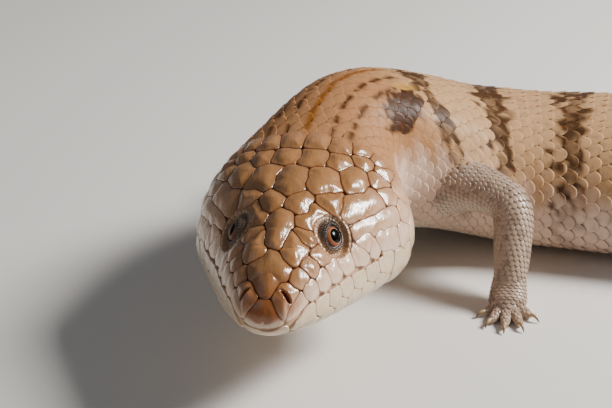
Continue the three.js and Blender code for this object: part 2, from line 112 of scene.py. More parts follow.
def section(s, angle):
    """(way to the left, height over the floor) of the body's outline at s. Each half, over and under the widest
    line, is a superellipse: half the width times cosine, and the rise times sine, to the power 2 / form. The
    floor flattens what would reach below it."""
    upper = np.sin(angle) >= 0
    power = 2 / np.where(upper, upper_form(s), lower_form(s))
    rise = np.where(upper, back(s) - widest(s), widest(s) - underside(s))
    left = half_width(s) * np.sign(np.cos(angle)) * np.abs(np.cos(angle)) ** power
    height = widest(s) + rise * np.sign(np.sin(angle)) * np.abs(np.sin(angle)) ** power
    return left, np.maximum(height + MOUTH_HEIGHT, 0)


def unit(v):
    """Each vector over its length."""
    return v / np.maximum(np.linalg.norm(v, axis=-1, keepdims=True), 1e-9)


class Surface:
    """A grid of points on a skin: rows along a body or limb, and columns at even steps round it. across is the
    way round in millimetres from the middle column, positive to the left of the body or the front of a limb."""

    def __init__(self, rows, points):
        self.rows, self.points = rows, points
        self.columns = points.shape[1] - 1
        self.refresh()

    def refresh(self):
        """Each point's normal, square to the ways to its neighbours, and half the way round each row."""
        along = np.gradient(self.points, axis=0)
        closed = np.concatenate([self.points[:, -2:-1], self.points, self.points[:, 1:2]], 1)
        self.normals = unit(np.cross(closed[:, 2:] - closed[:, :-2], along))
        rim = np.linalg.norm(np.diff(self.points, axis=1), axis=2).sum(1)
        self.half_round = np.maximum(rim / 2, 0.05)

    def half(self, s):
        """Half the way round at s."""
        return np.interp(s, self.rows, self.half_round)

    def at(self, s, across, lift=0):
        """The point at s and across, raised by lift along the skin's normal, by linear steps between grid points."""
        row = np.interp(s, self.rows, np.arange(len(self.rows)))
        column = (across / self.half(s) / 2 + 0.5) % 1 * self.columns
        i = np.clip(row.astype(int), 0, len(self.rows) - 2)
        j = np.clip(column.astype(int), 0, self.columns - 1)
        u, v = (row - i)[..., None], (column - j)[..., None]

        def mix(grid):
            """A grid's value between its four nearest points."""
            return ((grid[i, j] * (1 - v) + grid[i, j + 1] * v) * (1 - u)
                    + (grid[i + 1, j] * (1 - v) + grid[i + 1, j + 1] * v) * u)
        normal = unit(mix(self.normals))
        return mix(self.points) + normal * np.asarray(lift)[..., None], normal


def even_round(left, height, columns):
    """Points at even steps round each outline, from the belly's middle up the right side and down the left."""
    out = np.empty((len(left), columns + 1, 2))
    for k in range(len(left)):
        way = np.concatenate([[0], np.cumsum(np.hypot(np.diff(left[k]), np.diff(height[k])))])
        steps = np.linspace(0, way[-1], columns + 1)
        out[k] = np.stack([np.interp(steps, way, left[k]), np.interp(steps, way, height[k])], 1)
    return out


BODY_ROWS = np.concatenate([np.arange(0, 4, 0.2), np.arange(4, 64, 0.4), np.arange(64, LENGTH + 0.1, 1)])
BODY_COLUMNS = 320
_angles = np.radians(np.linspace(-90, -450, 1441))
_left, _height = section(BODY_ROWS[:, None], _angles[None, :])
_rim = even_round(_left, _height, BODY_COLUMNS)
_at, _to_left, _ahead = station(BODY_ROWS)
body = Surface(BODY_ROWS, _at[:, None] + _to_left[:, None] * _rim[..., :1] + np.array([0, 0, 1]) * _rim[..., 1:])

# The limbs
# Four short, stout legs of flesh, each with five toes. A leg is a tube along a smooth path through its joints,
# swelling where its muscles meet the body, and body and leg rise towards each other there so no crease shows.
LEG_RADII = {"fore": [7, 6.2, 5.9, 5.3, 4.2], "hind": [9.4, 8, 6.7, 5.4, 4.3]}
# Each toe's bearing in degrees from the way the foot points, outwards, and its length.
TOES = {"fore": [(-52, 4.6), (-24, 6.8), (0, 8), (23, 7.4), (54, 5.2)],
        "hind": [(-46, 4.4), (-22, 6.8), (-2, 8.8), (18, 10), (48, 6.6)]}
# s where a leg grows out, its side, the bearing of its foot in degrees outwards, and its joints as (way ahead of
# there, way out, height).
LEGS = {
    "foreleg_left": dict(s=96, side=1, points=37,
                         joints=[(-3, 13, 22), (-8, 29.5, 25.5), (-10, 40.5, 23), (-5, 46, 14), (-0.5, 49, 5.6)]),
    "foreleg_right": dict(s=98, side=-1, points=34,
                          joints=[(0, 12, 19), (-4, 30, 21), (-7, 41, 18), (-1, 44, 11), (4, 45, 5.4)]),
    "hindleg_left": dict(s=300, side=1, points=62,
                         joints=[(-2, 8, 14), (8, 30, 15), (13, 41, 13), (4, 48, 8), (-4, 53, 5)]),
    "hindleg_right": dict(s=300, side=-1, points=40,
                          joints=[(-2, 8, 14), (5, 30, 15), (8, 42, 13), (-2, 48, 8), (-10, 51, 5)]),
}
FILLET = 7  # how far the swelling between body and leg reaches
SHOULDER_REACH = 45  # along the spine, from a leg's middle to the last body row that may swell towards it
LEG_ROWS, LEG_COLUMNS = 90, 60


def path_through(points):
    """A smooth path through points, and its length: a cubic between each two, timed by the root of their
    distance, whose slope at a point is the mean of the slopes on its two sides, each weighted by the other's
    time."""
    points = np.array(points, float)
    time = np.concatenate([[0], np.cumsum(np.sqrt(np.linalg.norm(np.diff(points, axis=0), axis=1)))])
    step = np.diff(time)[:, None]
    rise = np.diff(points, axis=0) / step
    slope = np.concatenate([rise[:1], (rise[:-1] * step[1:] + rise[1:] * step[:-1]) / (step[:-1] + step[1:]),
                            rise[-1:]])
    at = hermite(time, points, slope)
    fine = at(np.linspace(0, time[-1], 400))
    way = np.concatenate([[0], np.cumsum(np.linalg.norm(np.diff(fine, axis=0), axis=1))])

    def by_share(u):
        """The point that is the share u of the length along the path."""
        return np.stack([np.interp(u * way[-1], way, fine[:, k]) for k in range(3)], -1)
    return by_share, way[-1]


def tube(points, radii, rows, columns, side_way, flat=1.0):
    """A grid round a smooth path: each ring is square to it, starts on the side that looks along side_way, has
    the radius that a smooth curve through radii gives there, and is flattened in height by flat."""
    path, length = path_through(points)
    u = np.linspace(0, 1, rows)
    at = path(u)
    tangent = unit(np.gradient(at, axis=0))
    first = unit(side_way - tangent * (tangent @ side_way)[:, None])
    second = np.cross(tangent, first)
    radius = curve(list(zip(np.linspace(0, 1, len(radii)), radii)))(u)[:, None, None]
    angle = np.linspace(-np.pi, np.pi, columns + 1)[None, :, None]
    grid = at[:, None] + radius * (np.cos(angle) * first[:, None] + np.sin(angle) * second[:, None])
    grid[..., 2] = np.maximum(at[:, None, 2] + (grid[..., 2] - at[:, None, 2]) * flat, 0)
    return Surface(u * length, grid), at, radius[:, 0, 0]


limbs = {}
for name, leg in LEGS.items():
    _at, _to_left, _ahead = station(leg["s"])
    out = _to_left * leg["side"]
    joints = [_at + _ahead * a + out * o + np.array([0, 0, z]) for a, o, z in leg["joints"]]
    kind = name[:4]
    bend = unit(np.cross(joints[2] - joints[0], joints[4] - joints[2]))
    surface, axis, radii = tube(joints, LEG_RADII[kind], LEG_ROWS, LEG_COLUMNS, bend)
    limbs[name] = dict(surface=surface, axis=axis, radii=radii, wrist=joints[-1], kind=kind, out=out, ahead=_ahead,
                       aim=np.radians(leg["points"]), s=leg["s"])


def swell(gap):
    """How far two skins rise towards each other where they are gap apart: a quarter of FILLET where they meet,
    falling to nothing FILLET away."""
    return FILLET / 4 * np.clip(1 - np.abs(gap) / FILLET, 0, 1) ** 2


_lift = np.zeros(body.points.shape[:2])
for limb in limbs.values():
    near = np.abs(BODY_ROWS - limb["s"]) < SHOULDER_REACH
    patch = body.points[near]
    gap = np.min(np.linalg.norm(patch[:, :, None] - limb["axis"][None, None, ::3], axis=3)
                 - limb["radii"][::3], axis=2)
    _lift[near] = np.maximum(_lift[near], swell(gap))
    shoulder = body.points[near][::2, ::3].reshape(-1, 3)
    normals = body.normals[near][::2, ::3].reshape(-1, 3)
    skin_points = limb["surface"].points
    nearest = np.concatenate([np.argmin(((row[:, None] - shoulder) ** 2).sum(2), 1)[None] for row in skin_points])
    limb["gap"] = ((skin_points - shoulder[nearest]) * normals[nearest]).sum(2)
for limb in limbs.values():
    limb["surface"].points += limb["surface"].normals * swell(limb["gap"])[..., None]
    limb["surface"].points[..., 2] = np.maximum(limb["surface"].points[..., 2], 0)
    limb["surface"].refresh()
body.points += body.normals * _lift[..., None]
body.points[..., 2] = np.maximum(body.points[..., 2], 0)
body.refresh()

# The skin
# One closed hide over body, legs, feet and toes, which the shields and scales grow out of. It sinks under the eyes,
# into the nostrils and ear openings, and along the line of the mouth.
MOUTH = [(-3, -1.6), (0, -1), (2, 0.3), (8, 2.3), (14, 2.5), (20, 2.6), (28, 2), (33, 2.2)]
mouth = curve(MOUTH)
EYE_S, EYE_UP = 24.6, 11
NOSTRIL_S, NOSTRIL_UP = 3.9, 5.4
EAR_S, EAR_UP = 57.2, 6.5
EAR_SIZE = (1.7, 2.7)  # half its length and height
EAR_DEPTH = 3.6
COAT = 0.5  # depth of the scales over the skin
MOUTH_LINE = 0.45  # depth and half the width of the line of the mouth
COAT_STARTS = [(0, 57.4), (0.3, 57.2), (0.45, 55.6), (0.6, 53), (0.72, 46), (0.85, 34), (1, 31)]
coat_starts = curve(COAT_STARTS)  # s where the small scales take over, over the share of the way round
SKIN_ROWS = np.concatenate([np.arange(0, 4, 0.4), np.arange(4, 52, 0.8), np.arange(52, 62, 0.4),
                            np.arange(62, LENGTH, 2.2), [LENGTH]])
SKIN_COLUMNS = 180


def across_at_height(s, z, side):
    """The way round to the point of the left (1) or right (-1) side that is z over the line of the mouth."""
    shares = np.linspace(1, 0, 400)
    ring = body.at(np.full(400, s), shares * body.half(s))[0]
    height = np.maximum.accumulate(ring[:, 2])
    return side * np.interp(z + MOUTH_HEIGHT, height, shares) * body.half(s)


eyes_at = [body.at(EYE_S, across_at_height(EYE_S, EYE_UP, side)) for side in (1, -1)]
nostrils_at = [body.at(NOSTRIL_S, across_at_height(NOSTRIL_S, NOSTRIL_UP, side)) for side in (1, -1)]
ears_at = [body.at(EAR_S, across_at_height(EAR_S, EAR_UP, side)) for side in (1, -1)]
HOLLOWS = [(eyes_at, 2.2, 5.8, 1.6), (nostrils_at, 1.8, 2.2, 1.2)]  # depth, reach and the width of their slope


def smooth(x):
    """0 up to 0 and 1 from 1 on, with a cubic between."""
    x = np.clip(x, 0, 1)
    return x * x * (3 - 2 * x)


def blend(one, other, weight):
    """From one value or colour to the other: the first by 1 - weight and the other by weight."""
    return one * (1 - weight) + other * weight


def in_ear(points, at):
    """How far points are from an ear's middle, with its oval rim at 1."""
    away = points - at
    return np.hypot(away[..., 1] / EAR_SIZE[0], away[..., 2] / EAR_SIZE[1])


def sunk(points, s):
    """How deep the skin lies under the coat's outside: the coat, the hollows under the eyes, the nostrils, the
    ears' oval cups and the line of the mouth."""
    depth = np.full(points.shape[:-1], COAT)
    for places, deep, reach, slope in HOLLOWS:
        for at, _ in places:
            depth += deep * smooth((reach - np.linalg.norm(points - at, axis=-1)) / slope)
    for at, _ in ears_at:
        depth += EAR_DEPTH * smooth((1.12 - in_ear(points, at)) / 0.4)
    over_mouth = points[..., 2] - MOUTH_HEIGHT - mouth(s)
    return depth + MOUTH_LINE * np.exp(-(over_mouth / MOUTH_LINE) ** 2) * smooth((35 - s) / 4)


def rows_of_faces(rows, columns):
    """Quads between the points of a grid whose rows are closed rings."""
    i = np.arange(rows - 1)[:, None] * columns
    j = np.arange(columns)[None]
    k = (j + 1) % columns
    return np.stack([i + j, i + k, i + columns + k, i + columns + j], -1).reshape(-1, 4)


def fan(ring, middle):
    """Triangles from a closed ring of points to its middle one."""
    return np.stack([ring, np.roll(ring, -1), np.full(len(ring), middle)], 1)


def closed_tube(grid, first, last):
    """Points, quads and triangles of a grid of rings, closed to the points first and last at its ends."""
    rows, columns = grid.shape[:2]
    ids = np.arange(rows * columns)
    points = np.concatenate([grid.reshape(-1, 3), [first], [last]])
    triangles = np.concatenate([fan(ids[:columns], rows * columns)[:, ::-1],
                                fan(ids[-columns:], rows * columns + 1)])
    return points, rows_of_faces(rows, columns), triangles


def as_one(parts):
    """Many small bodies as the arrays of one mesh: points, quads, triangles and what else each brings, with the
    faces' numbers moved on by the points before them."""
    points, quads, triangles, *others = zip(*parts)
    first = np.cumsum([0] + [len(p) for p in points[:-1]])
    faces = [np.concatenate([ids + i for ids, i in zip(kind, first)]) for kind in (quads, triangles)]
    return np.concatenate(points), *faces, *map(np.concatenate, others)


def add_mesh(name, points, quads, triangles, values=None, uv=None):
    """A smooth mesh object from arrays in millimetres: values are named vectors or colours for each point, and uv
    is the place of each point on the map that the finish is baked to."""
    corners = np.concatenate([quads.ravel(), triangles.ravel()]).astype(np.int32)
    starts = np.concatenate([np.arange(len(quads)) * 4, len(quads) * 4 + np.arange(len(triangles)) * 3])
    mesh = bpy.data.meshes.new(name)
    mesh.vertices.add(len(points))
    mesh.vertices.foreach_set("co", (points * MM).astype(np.float32).ravel())
    mesh.loops.add(len(corners))
    mesh.loops.foreach_set("vertex_index", corners)
    mesh.polygons.add(len(starts))
    mesh.polygons.foreach_set("loop_start", starts.astype(np.int32))
    mesh.update(calc_edges=True)
    mesh.shade_smooth()
    for key, value in (values or {}).items():
        kind, field = {3: ("FLOAT_VECTOR", "vector"), 4: ("FLOAT_COLOR", "color")}[value.shape[1]]
        mesh.attributes.new(key, kind, "POINT").data.foreach_set(field, value.astype(np.float32).ravel())
    if uv is not None:
        mesh.uv_layers.new(name="OFBake").data.foreach_set("uv", uv[corners].astype(np.float32).ravel())
    piece = bpy.data.objects.new(name, mesh)
    bpy.context.scene.collection.objects.link(piece)
    return piece


def linear(hex_colour):
    """A colour given as sRGB hex digits, as linear red, green and blue."""
    c = np.array([int(hex_colour[k:k + 2], 16) for k in (1, 3, 5)]) / 255
    return np.where(c <= 0.04045, c / 12.92, ((c + 0.055) / 1.055) ** 2.4)


def node(tree, kind, settings=(), **inputs):
    """Adds a shader node with its settings. Each input, with _ for a space in its name or i3 for the third from
    0, is a value or another node's output that is linked to it."""
    made = tree.nodes.new("ShaderNode" + kind)
    for key, value in dict(settings).items():
        setattr(made, key, value)
    for key, value in inputs.items():
        socket = made.inputs[int(key[1:]) if key[1:].isdigit() else key.replace("_", " ")]
        if isinstance(value, bpy.types.NodeSocket):
            tree.links.new(value, socket)
        else:
            socket.default_value = value
    return made


def finish(name, **inputs):
    """A new material and the tree and shader in it, with the shader's own values set."""
    material = bpy.data.materials.new(name)
    material.use_nodes = True
    shader = material.node_tree.nodes["Principled BSDF"]
    for key, value in inputs.items():
        shader.inputs[key.replace("_", " ")].default_value = value
    return material, material.node_tree, shader


def horn(name, roughness, mottling, striae, relief, gloss=0.5, dents=0.0, wet=0.25):
    """Reptile horn, keratin as it grows: its colour comes with the mesh, mottled by noise that is about a
    millimetre across, and it is glossy where it is rubbed, with fine lengthwise striae and wide shallow dents as
    relief. The mottling is a share, striae are to the millimetre, and the relief and the dents are in
    millimetres."""
    material, tree, shader = finish(name, Roughness=roughness, Specular_IOR_Level=gloss, Coat_Weight=wet,
                                    Coat_Roughness=0.2, Subsurface_Weight=0.06, Subsurface_Scale=0.002)
    shader.inputs["Subsurface Radius"].default_value = (1, 0.45, 0.25)
    colour = node(tree, "Attribute", {"attribute_name": "colour"}).outputs["Color"]
    lie = node(tree, "Attribute", {"attribute_name": "lie"}).outputs["Vector"]
    spots = node(tree, "TexNoise", Vector=lie, Scale=0.9, Detail=4.0, Roughness=0.6).outputs["Fac"]
    shade = node(tree, "MapRange", i0=spots, i1=0.25, i2=0.75, i3=1 - mottling, i4=1 + mottling).outputs[0]
    tinted = node(tree, "VectorMath", {"operation": "SCALE"}, i0=colour, Scale=shade).outputs[0]
    tree.links.new(tinted, shader.inputs["Base Color"])
    stretched = node(tree, "Mapping", Vector=lie, Scale=(0.16, 1, 1)).outputs[0]
    lines = node(tree, "TexNoise", Vector=stretched, Scale=striae, Detail=3.0).outputs["Fac"]
    bump = node(tree, "Bump", Height=lines, Distance=relief * MM, Strength=1.0)
    wide = node(tree, "TexNoise", Vector=lie, Scale=0.55, Detail=2.0).outputs["Fac"]
    bump = node(tree, "Bump", Height=wide, Distance=dents * MM, Strength=1.0, Normal=bump.outputs[0])
    tree.links.new(bump.outputs[0], shader.inputs["Normal"])
    worn = node(tree, "TexNoise", Vector=lie, Scale=0.35, Detail=2.0).outputs["Fac"]
    rough = node(tree, "MapRange", i0=worn, i1=0.3, i2=0.7, i3=roughness * 0.8, i4=roughness * 1.25).outputs[0]
    tree.links.new(rough, shader.inputs["Roughness"])
    return material


def ripple(s, across, size, seed):
    """Smooth noise of about -1 to 1: the mean of eight plane waves with set seeds, about size millimetres long."""
    rng = np.random.default_rng(seed)
    total = 0
    for _ in range(8):
        way, phase, length = rng.uniform(0, 2 * np.pi, 2).tolist() + [size * rng.uniform(0.6, 1.6)]
        total = total + np.sin((s * np.cos(way) + across * np.sin(way)) / length * 2 * np.pi + phase)
    return total / 4


NAPE, BUFF, FLANK, BELLY_CREAM = linear("#a3754f"), linear("#b58f68"), linear("#d2b49f"), linear("#dccbb4")
DARK, RUST, YELLOW, SEAM = linear("#321c0d"), linear("#7a4712"), linear("#b98c48"), linear("#74411f")
LEG, LEG_UNDER = linear("#a38b78"), linear("#cdb7a3")
# (s, way from band to band)
BAND_EVERY = [(100, 25), (330, 22), (520, 17)]
FIRST_BAND = 106  # its middle


def markings(s, across):
    """The animal's colour at s and across: pinkish nape with a rusty middle stripe and dotted streaks, a dark
    ragged blotch over each shoulder, dark bands over back and tail that break up on the pale flanks, and a cream
    underside. Each edge is a smooth step, moved by noise."""
    share = np.abs(across) / body.half(s)
    wobble = ripple(s, across, 9, 3)
    fine = ripple(s, across, 3.5, 4)

    def over(colour, top, weight):
        """Top laid over the colour by weight, held between 0 and 1."""
        return blend(colour, top, np.clip(weight, 0, 1)[..., None])
    colour = NAPE * np.ones(s.shape + (1,))
    colour = over(colour, BUFF, smooth((s - 85) / 25))
    side = smooth((share + 0.04 * wobble - 0.36) / 0.16)
    colour = over(colour, FLANK, side)
    colour = over(colour, BELLY_CREAM, smooth((share + 0.03 * wobble - 0.68) / 0.16))
    nape = smooth((s - 54) / 5) * smooth((104 - s) / 10)
    colour = over(colour, RUST, 0.95 * nape * np.exp(-((across + 0.8 - 0.3 * wobble) / 1.0) ** 2))
    for way, width, strength in ((6.0, 0.8, 0.95), (11.0, 0.9, 0.85)):
        dots = smooth((ripple(s * 1.6, np.sign(across) * way, 4, 5) + 0.35) / 0.3)
        colour = over(colour, DARK, strength * nape * dots * np.exp(-((np.abs(across) - way) / width) ** 2))
    out = np.hypot((s - 89) / 11.5, (np.abs(across) - 17.2 + (s - 89) * 0.22) / 5.6)
    colour = over(colour, DARK, 0.96 * smooth((1.2 - out + 0.34 * fine + 0.1 * wobble) / 0.3))
    bar = np.hypot((s - 97) / 5, (np.abs(across) - 10.4) / 1.5)
    colour = over(colour, YELLOW, 0.8 * smooth((1.2 - bar) / 0.4))
    stations, gaps = np.array(BAND_EVERY, float).T
    every = np.interp(s, stations, gaps)
    phase = np.cumsum(1 / np.interp(np.arange(0, LENGTH + 1), stations, gaps))
    turn = np.interp(s, np.arange(0, LENGTH + 1), phase) - phase[FIRST_BAND]
    from_band = np.abs((turn + 0.09 * wobble + 0.05 * fine + 0.5) % 1 - 0.5) * every
    reach = np.interp(s, [100, 330, 400], [0.44, 0.58, 0.76])
    broken = ripple(s, across, 6, 6)
    band = smooth((5.0 + 1.2 * broken - from_band + 1.1 * fine) / 1.8) * smooth((s - 99) / 4)
    fade = smooth((reach + 0.12 * wobble + 0.08 * fine - share) / 0.1)
    core = 1 - 0.35 * smooth((2.4 - from_band) / 2) * smooth((broken + 0.2) / 0.5)
    colour = over(colour, DARK, band * core * (0.94 * fade + 0.4 * (1 - fade) * smooth((0.7 - share) / 0.1)
                                               * smooth((broken + 0.3) / 0.5)))
    flecks = smooth((ripple(s, across, 2.6, 7) - 0.42) / 0.3) * (1 - band) * smooth((s - 80) / 30)
    colour = over(colour, DARK, 0.3 * flecks * smooth((0.62 - share) / 0.1))
    return colour


def leg_markings(points, normals, s, across):
    """A leg's colour: greyish tan above, paler where the skin looks down, and flecked with brown by noise."""
    down = smooth((0.15 - normals[..., 2]) / 0.8)[..., None]
    flecks = smooth((ripple(s, across, 4.5, 8) - 0.35) / 0.3)[..., None] * (1 - down) * 0.35
    return blend(blend(LEG, LEG_UNDER, down), DARK, flecks)


_steps = np.arange(SKIN_COLUMNS) / SKIN_COLUMNS * 2 - 1
_s = SKIN_ROWS[:, None] + 0 * _steps[None]
_over, _out = body.at(_s, _steps * body.half(_s))
_skin = _over - _out * np.minimum(sunk(_over, _s), body.half(_s) / 4)[..., None]
_skin[..., 2] = np.maximum(_skin[..., 2], 0.02)
_lie = np.stack([_s, _steps * body.half(_s), 0 * _s], -1).reshape(-1, 3)
_head = smooth((coat_starts(np.abs(_steps)) - _s) / 3)[..., None]
_seam = blend(SEAM, linear("#bf9a7c"), smooth((np.abs(_steps) - 0.28) / 0.12)[None, :, None])
_colour = blend(markings(_s, _steps * body.half(_s)) * 0.8, _seam, _head)
# Painted shade: the ear openings' deep cups are coloured near black inside.
for _ear, _ in ears_at:
    _colour = blend(_colour, linear("#2a1510"), smooth((1.1 - in_ear(_over, _ear)) / 0.4)[..., None])
_colour = _colour.reshape(-1, 3)
skin = add_mesh("skin", *closed_tube(_skin, _skin[0].mean(0) - [0, 0.3, 0], _skin[-1].mean(0) + [0, 0.3, 0]),
                dict(lie=np.concatenate([_lie, [[0, 0, 0], [LENGTH, 0, 0]]]),
                     colour=np.c_[np.concatenate([_colour, _colour[:1], _colour[-1:]]), np.ones(len(_colour) + 2)]))
# Soft living hide, satin and unpolished: it shows only as the dull dark line between shields and scales.
skin.data.materials.append(horn("hide_between_scales", 0.5, 0.1, 1.0, 0.03))

# The feet are tubes too: a flat palm ahead of the wrist and a short thick toe for each bearing, fanned round it.
PALM_LENGTH, SOLE_WIDTH, SOLE_FLAT = 6, 5.2, 0.62  # the last is its height over its width
TOE_ROOT, TOE_RADII = 2.6, [1.9, 1.8, 1.55, 0.95]  # how far out a toe's length starts, and radii at its joints
UP = np.array([0.0, 0, 1])
soles = {}
toes = []
for name, limb in limbs.items():
    def towards(degrees):
        """The way over the floor at so many degrees outwards of where the foot points."""
        bearing = limb["aim"] + np.radians(degrees)
        return limb["ahead"] * np.cos(bearing) + limb["out"] * np.sin(bearing)

    def ahead_of_wrist(way, r, z):
        """The point that is r from the wrist that way, and z over the floor."""
        return np.append((limb["wrist"] + way * r)[:2], z)
    along = towards(0)
    shin = unit(limb["axis"][-1] - limb["axis"][-12])
    palm = [limb["wrist"] - shin * 5, ahead_of_wrist(along, 0.6, limb["wrist"][2] - 0.3),
            ahead_of_wrist(along, PALM_LENGTH * 0.7, 2.9), ahead_of_wrist(along, PALM_LENGTH * 1.35, 1.7)]
    soles[name] = tube(palm, [LEG_RADII[limb["kind"]][-1] * 0.93, SOLE_WIDTH * 0.92, SOLE_WIDTH, SOLE_WIDTH * 0.45],
                       40, 48, UP, SOLE_FLAT)[0]
    root = ahead_of_wrist(along, PALM_LENGTH * 0.45, 0)
    for degrees, length in TOES[limb["kind"]]:
        way = towards(degrees)
        joints = [root + way * r + UP * z for r, z in
                  ((1, 2.2), (TOE_ROOT, 2), (TOE_ROOT + length / 2, 1.6), (TOE_ROOT + length, 1.1))]
        toes.append(dict(surface=tube(joints, TOE_RADII, 40, 24, UP)[0], way=way, root=root, length=length,
                         foot=name))


def add_limb_skin(name, surface, coat, rounding, tint):
    """A limb's skin: its grid pulled in by the coat's depth, with a point that rounds its end."""
    grid = surface.points[:, :-1] - surface.normals[:, :-1] * coat
    ahead = unit(grid[-1].mean(0) - grid[-4].mean(0))
    grid[..., 2] = np.maximum(grid[..., 2], 0.02)
    end = grid[-1].mean(0) + ahead * rounding
    s = surface.rows[:, None] + np.zeros(surface.columns)
    colour = leg_markings(grid, surface.normals[:, :-1], s, s * 0).reshape(-1, 3) * tint
    colour = np.concatenate([colour, colour[:1], colour[-1:]])
    return add_mesh(name, *closed_tube(grid, grid[0].mean(0), end),
                    dict(colour=np.c_[colour, np.ones(len(colour))],
                         lie=np.concatenate([grid.reshape(-1, 3), np.zeros((2, 3))])))


_parts = [add_limb_skin(name, limb["surface"], COAT * 0.7, 0.1, 0.85) for name, limb in limbs.items()]
_parts += [add_limb_skin("sole", sole, COAT * 0.6, 1.6, 0.9) for sole in soles.values()]
_parts += [add_limb_skin("toe", toe["surface"], 0.25, 0.6, 1.1) for toe in toes]
# One union makes a single closed hide of them all, and the loose tubes go.
_group = bpy.data.collections.new("skin_parts")
for part in _parts:
    bpy.context.scene.collection.objects.unlink(part)
    _group.objects.link(part)
_join = skin.modifiers.new("join", "BOOLEAN")
_join.operation, _join.solver, _join.operand_type, _join.collection = "UNION", "MANIFOLD", "COLLECTION", _group
_whole = bpy.data.meshes.new_from_object(skin.evaluated_get(bpy.context.evaluated_depsgraph_get()))
skin.modifiers.clear()
skin.data = _whole
_whole.shade_smooth()
for part in _parts:
    bpy.data.meshes.remove(part.data)
bpy.data.collections.remove(_group)
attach(skin, "root")
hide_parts("head", "lower_jaw", "neck", "torso_front", "torso_middle", "torso_rear", "tail_base",
            "tail_middle", "tail_tip", *limbs, *(name.replace("leg", "foot") for name in limbs))


# The head's shields
# The crown, cheeks and lips wear large horny shields, each a low dome that meets its neighbours in a groove. Each
# is the stretch of skin nearer to its own seed points than to any other's. A top shield's seeds are (s, way across
# from the midline) and a side one's (s, height over the line of the mouth).
TOP_SHIELDS = {
    "frontonasal": [(4.6, 0), (8.6, 2.4), (8.6, -2.4), (10, 0)],
    "nasal": [(3.4, 4.1), (4.8, 5.8)],
    "prefrontal": [(13.2, 4.8), (16, 4.6)],
    "frontal": [(16.6, 0), (21.6, 0)],
    "supraocular_first": [(19.6, 6.8)],
    "supraocular_second": [(23.4, 6.6), (27.2, 8)],
    "supraocular_third": [(31.6, 10)],
    "frontoparietal": [(28.4, 3.8)],
    "interparietal": [(33.4, 0), (37, 0)],
    "parietal": [(36, 7.4), (39, 7.8)],
    "nuchal_first": [(46.6, 3.9)],
    "nuchal_second": [(47, 9.9)],
    "nuchal_third": [(53, 3.2)],
    "nuchal_fourth": [(52.6, 9.4)],
    "nuchal_fifth": [(54.6, 14.4)],
    "temporal_upper": [(42, 14.2), (44, 14.6)],
    "temporal_rear": [(50.4, 15.4)],
    "temporal_edge": [(54.6, 18.4)],
    "ear_cover": [(47.6, 19.6)],
    "ear_lobe": [(51, 20)],
}
SIDE_SHIELDS = {
    "loreal_front": [(8.6, 7.4)],
    "loreal_rear": [(13, 8.6)],
    "preocular": [(17.4, 9.4)],
    "temporal_first": [(33, 13), (36.6, 13), (40, 13)],
    "temporal_second": [(31.2, 9.9), (35, 9.4), (38.8, 9), (42, 8.8)],
    "temporal_third": [(45, 12.4)],
    "temporal_fourth": [(46.6, 7.6)],
    "temporal_fifth": [(51.6, 11.4)],
    "postocular": [(30.4, 7)],
    "cheek_first": [(34.4, 5.4), (38, 5)],
    "cheek_second": [(42.8, 3.6)],
    "cheek_third": [(39, -2.4), (42.6, -3.2)],
    "cheek_fourth": [(49, 1.6)],
}
# s of the lips' and chin's shields, and the height of the upper lip's over the mouth.
LABIAL_STATIONS = [5.2, 9, 13.2, 17.6, 22.2, 27, 31.8]
LABIAL_OFF = [2.1, 2.8, 3, 3, 3, 3, 3]
CHIN_STATIONS = [9, 15.4, 22, 28.6]
EYE_CLEAR, EAR_CLEAR = 5.5, 2.9  # from the middle of eye and ear to the shields round them
LOWER_SHIELDS = ("labial_lower", "mental", "chin", "chin_side")
TOP_GROOVE, LIP_GROOVE, MOUTH_GROOVE = 0.07, 0.03, 0.24  # widths between shields
SHIELD_RISE, SHIELD_CROWN = 0.24, 0.85  # the rim's height, and how much higher the middle stands
WANDER = 0.3  # how far noise moves the borders
SHIELD_ROOT = 0.9  # how deep a shield is sunk in the skin
SHIELD_REACH = 7  # the most that its border stands from its middle, and 2 more for each seed after the first
REAR_ROUND = {"nuchal_third": 4.3, "nuchal_fourth": 4.3, "nuchal_fifth": 3.8}  # the last row's rear
CORNER = 0.22  # how round a shield's corners are
NEAR_MOUTH = 14  # shields whose middle is lower over the mouth end at its line


def across_from_middle(s, x):
    """The way round to a point x to the left of the midline, on the upper half of the skin."""
    at, left, _ = station(s)
    ring = body.at(np.full(400, s), np.linspace(0, 1, 400) * body.half(s))[0]
    out = (ring - at) @ left
    top = out.argmax()
    return np.sign(x) * np.interp(abs(x), out[:top + 1], np.linspace(0, 1, 400)[:top + 1]) * body.half(s)


shields = []
for side in (1, -1):
    for name, seeds in TOP_SHIELDS.items():
        if seeds[0][1] or side > 0:
            shields.append((name, side, [(s, across_from_middle(s, side * x)) for s, x in seeds]))
    for name, seeds in SIDE_SHIELDS.items():
        shields.append((name, side, [(s, across_at_height(s, z, side)) for s, z in seeds]))
    for s, off in zip(LABIAL_STATIONS, LABIAL_OFF):
        shields.append(("labial_upper", side, [(s, across_at_height(s, mouth(s) + off, side))]))
        shields.append(("labial_lower", side, [(s + 1.6, across_at_height(s + 1.6, mouth(s) - 1.9, side))]))
        if s > 6:
            shields.append(("chin_side", side, [(s - 0.8, across_at_height(s - 0.8, mouth(s) - 6.4, side))]))
    for s in CHIN_STATIONS:
        shields.append(("chin", side, [(s, across_at_height(s, underside(s) + 1.2, side))]))
shields.append(("mental", 1, [(1.4, 0.999 * body.half(1.4))]))
shields.append(("rostral", 1, [(0, 0)]))
seed_points = [body.at(np.array([s for s, _ in seeds]), np.array([a for _, a in seeds]))[0]
               for _, _, seeds in shields]
_tip = body.points[0].mean(0)
seed_points[-1] = np.stack([_tip + [0, -0.4, 1], body.points[3, BODY_COLUMNS // 2]])
eye_points = np.stack([at for at, _ in eyes_at])
ear_points = np.stack([at for at, _ in ears_at])


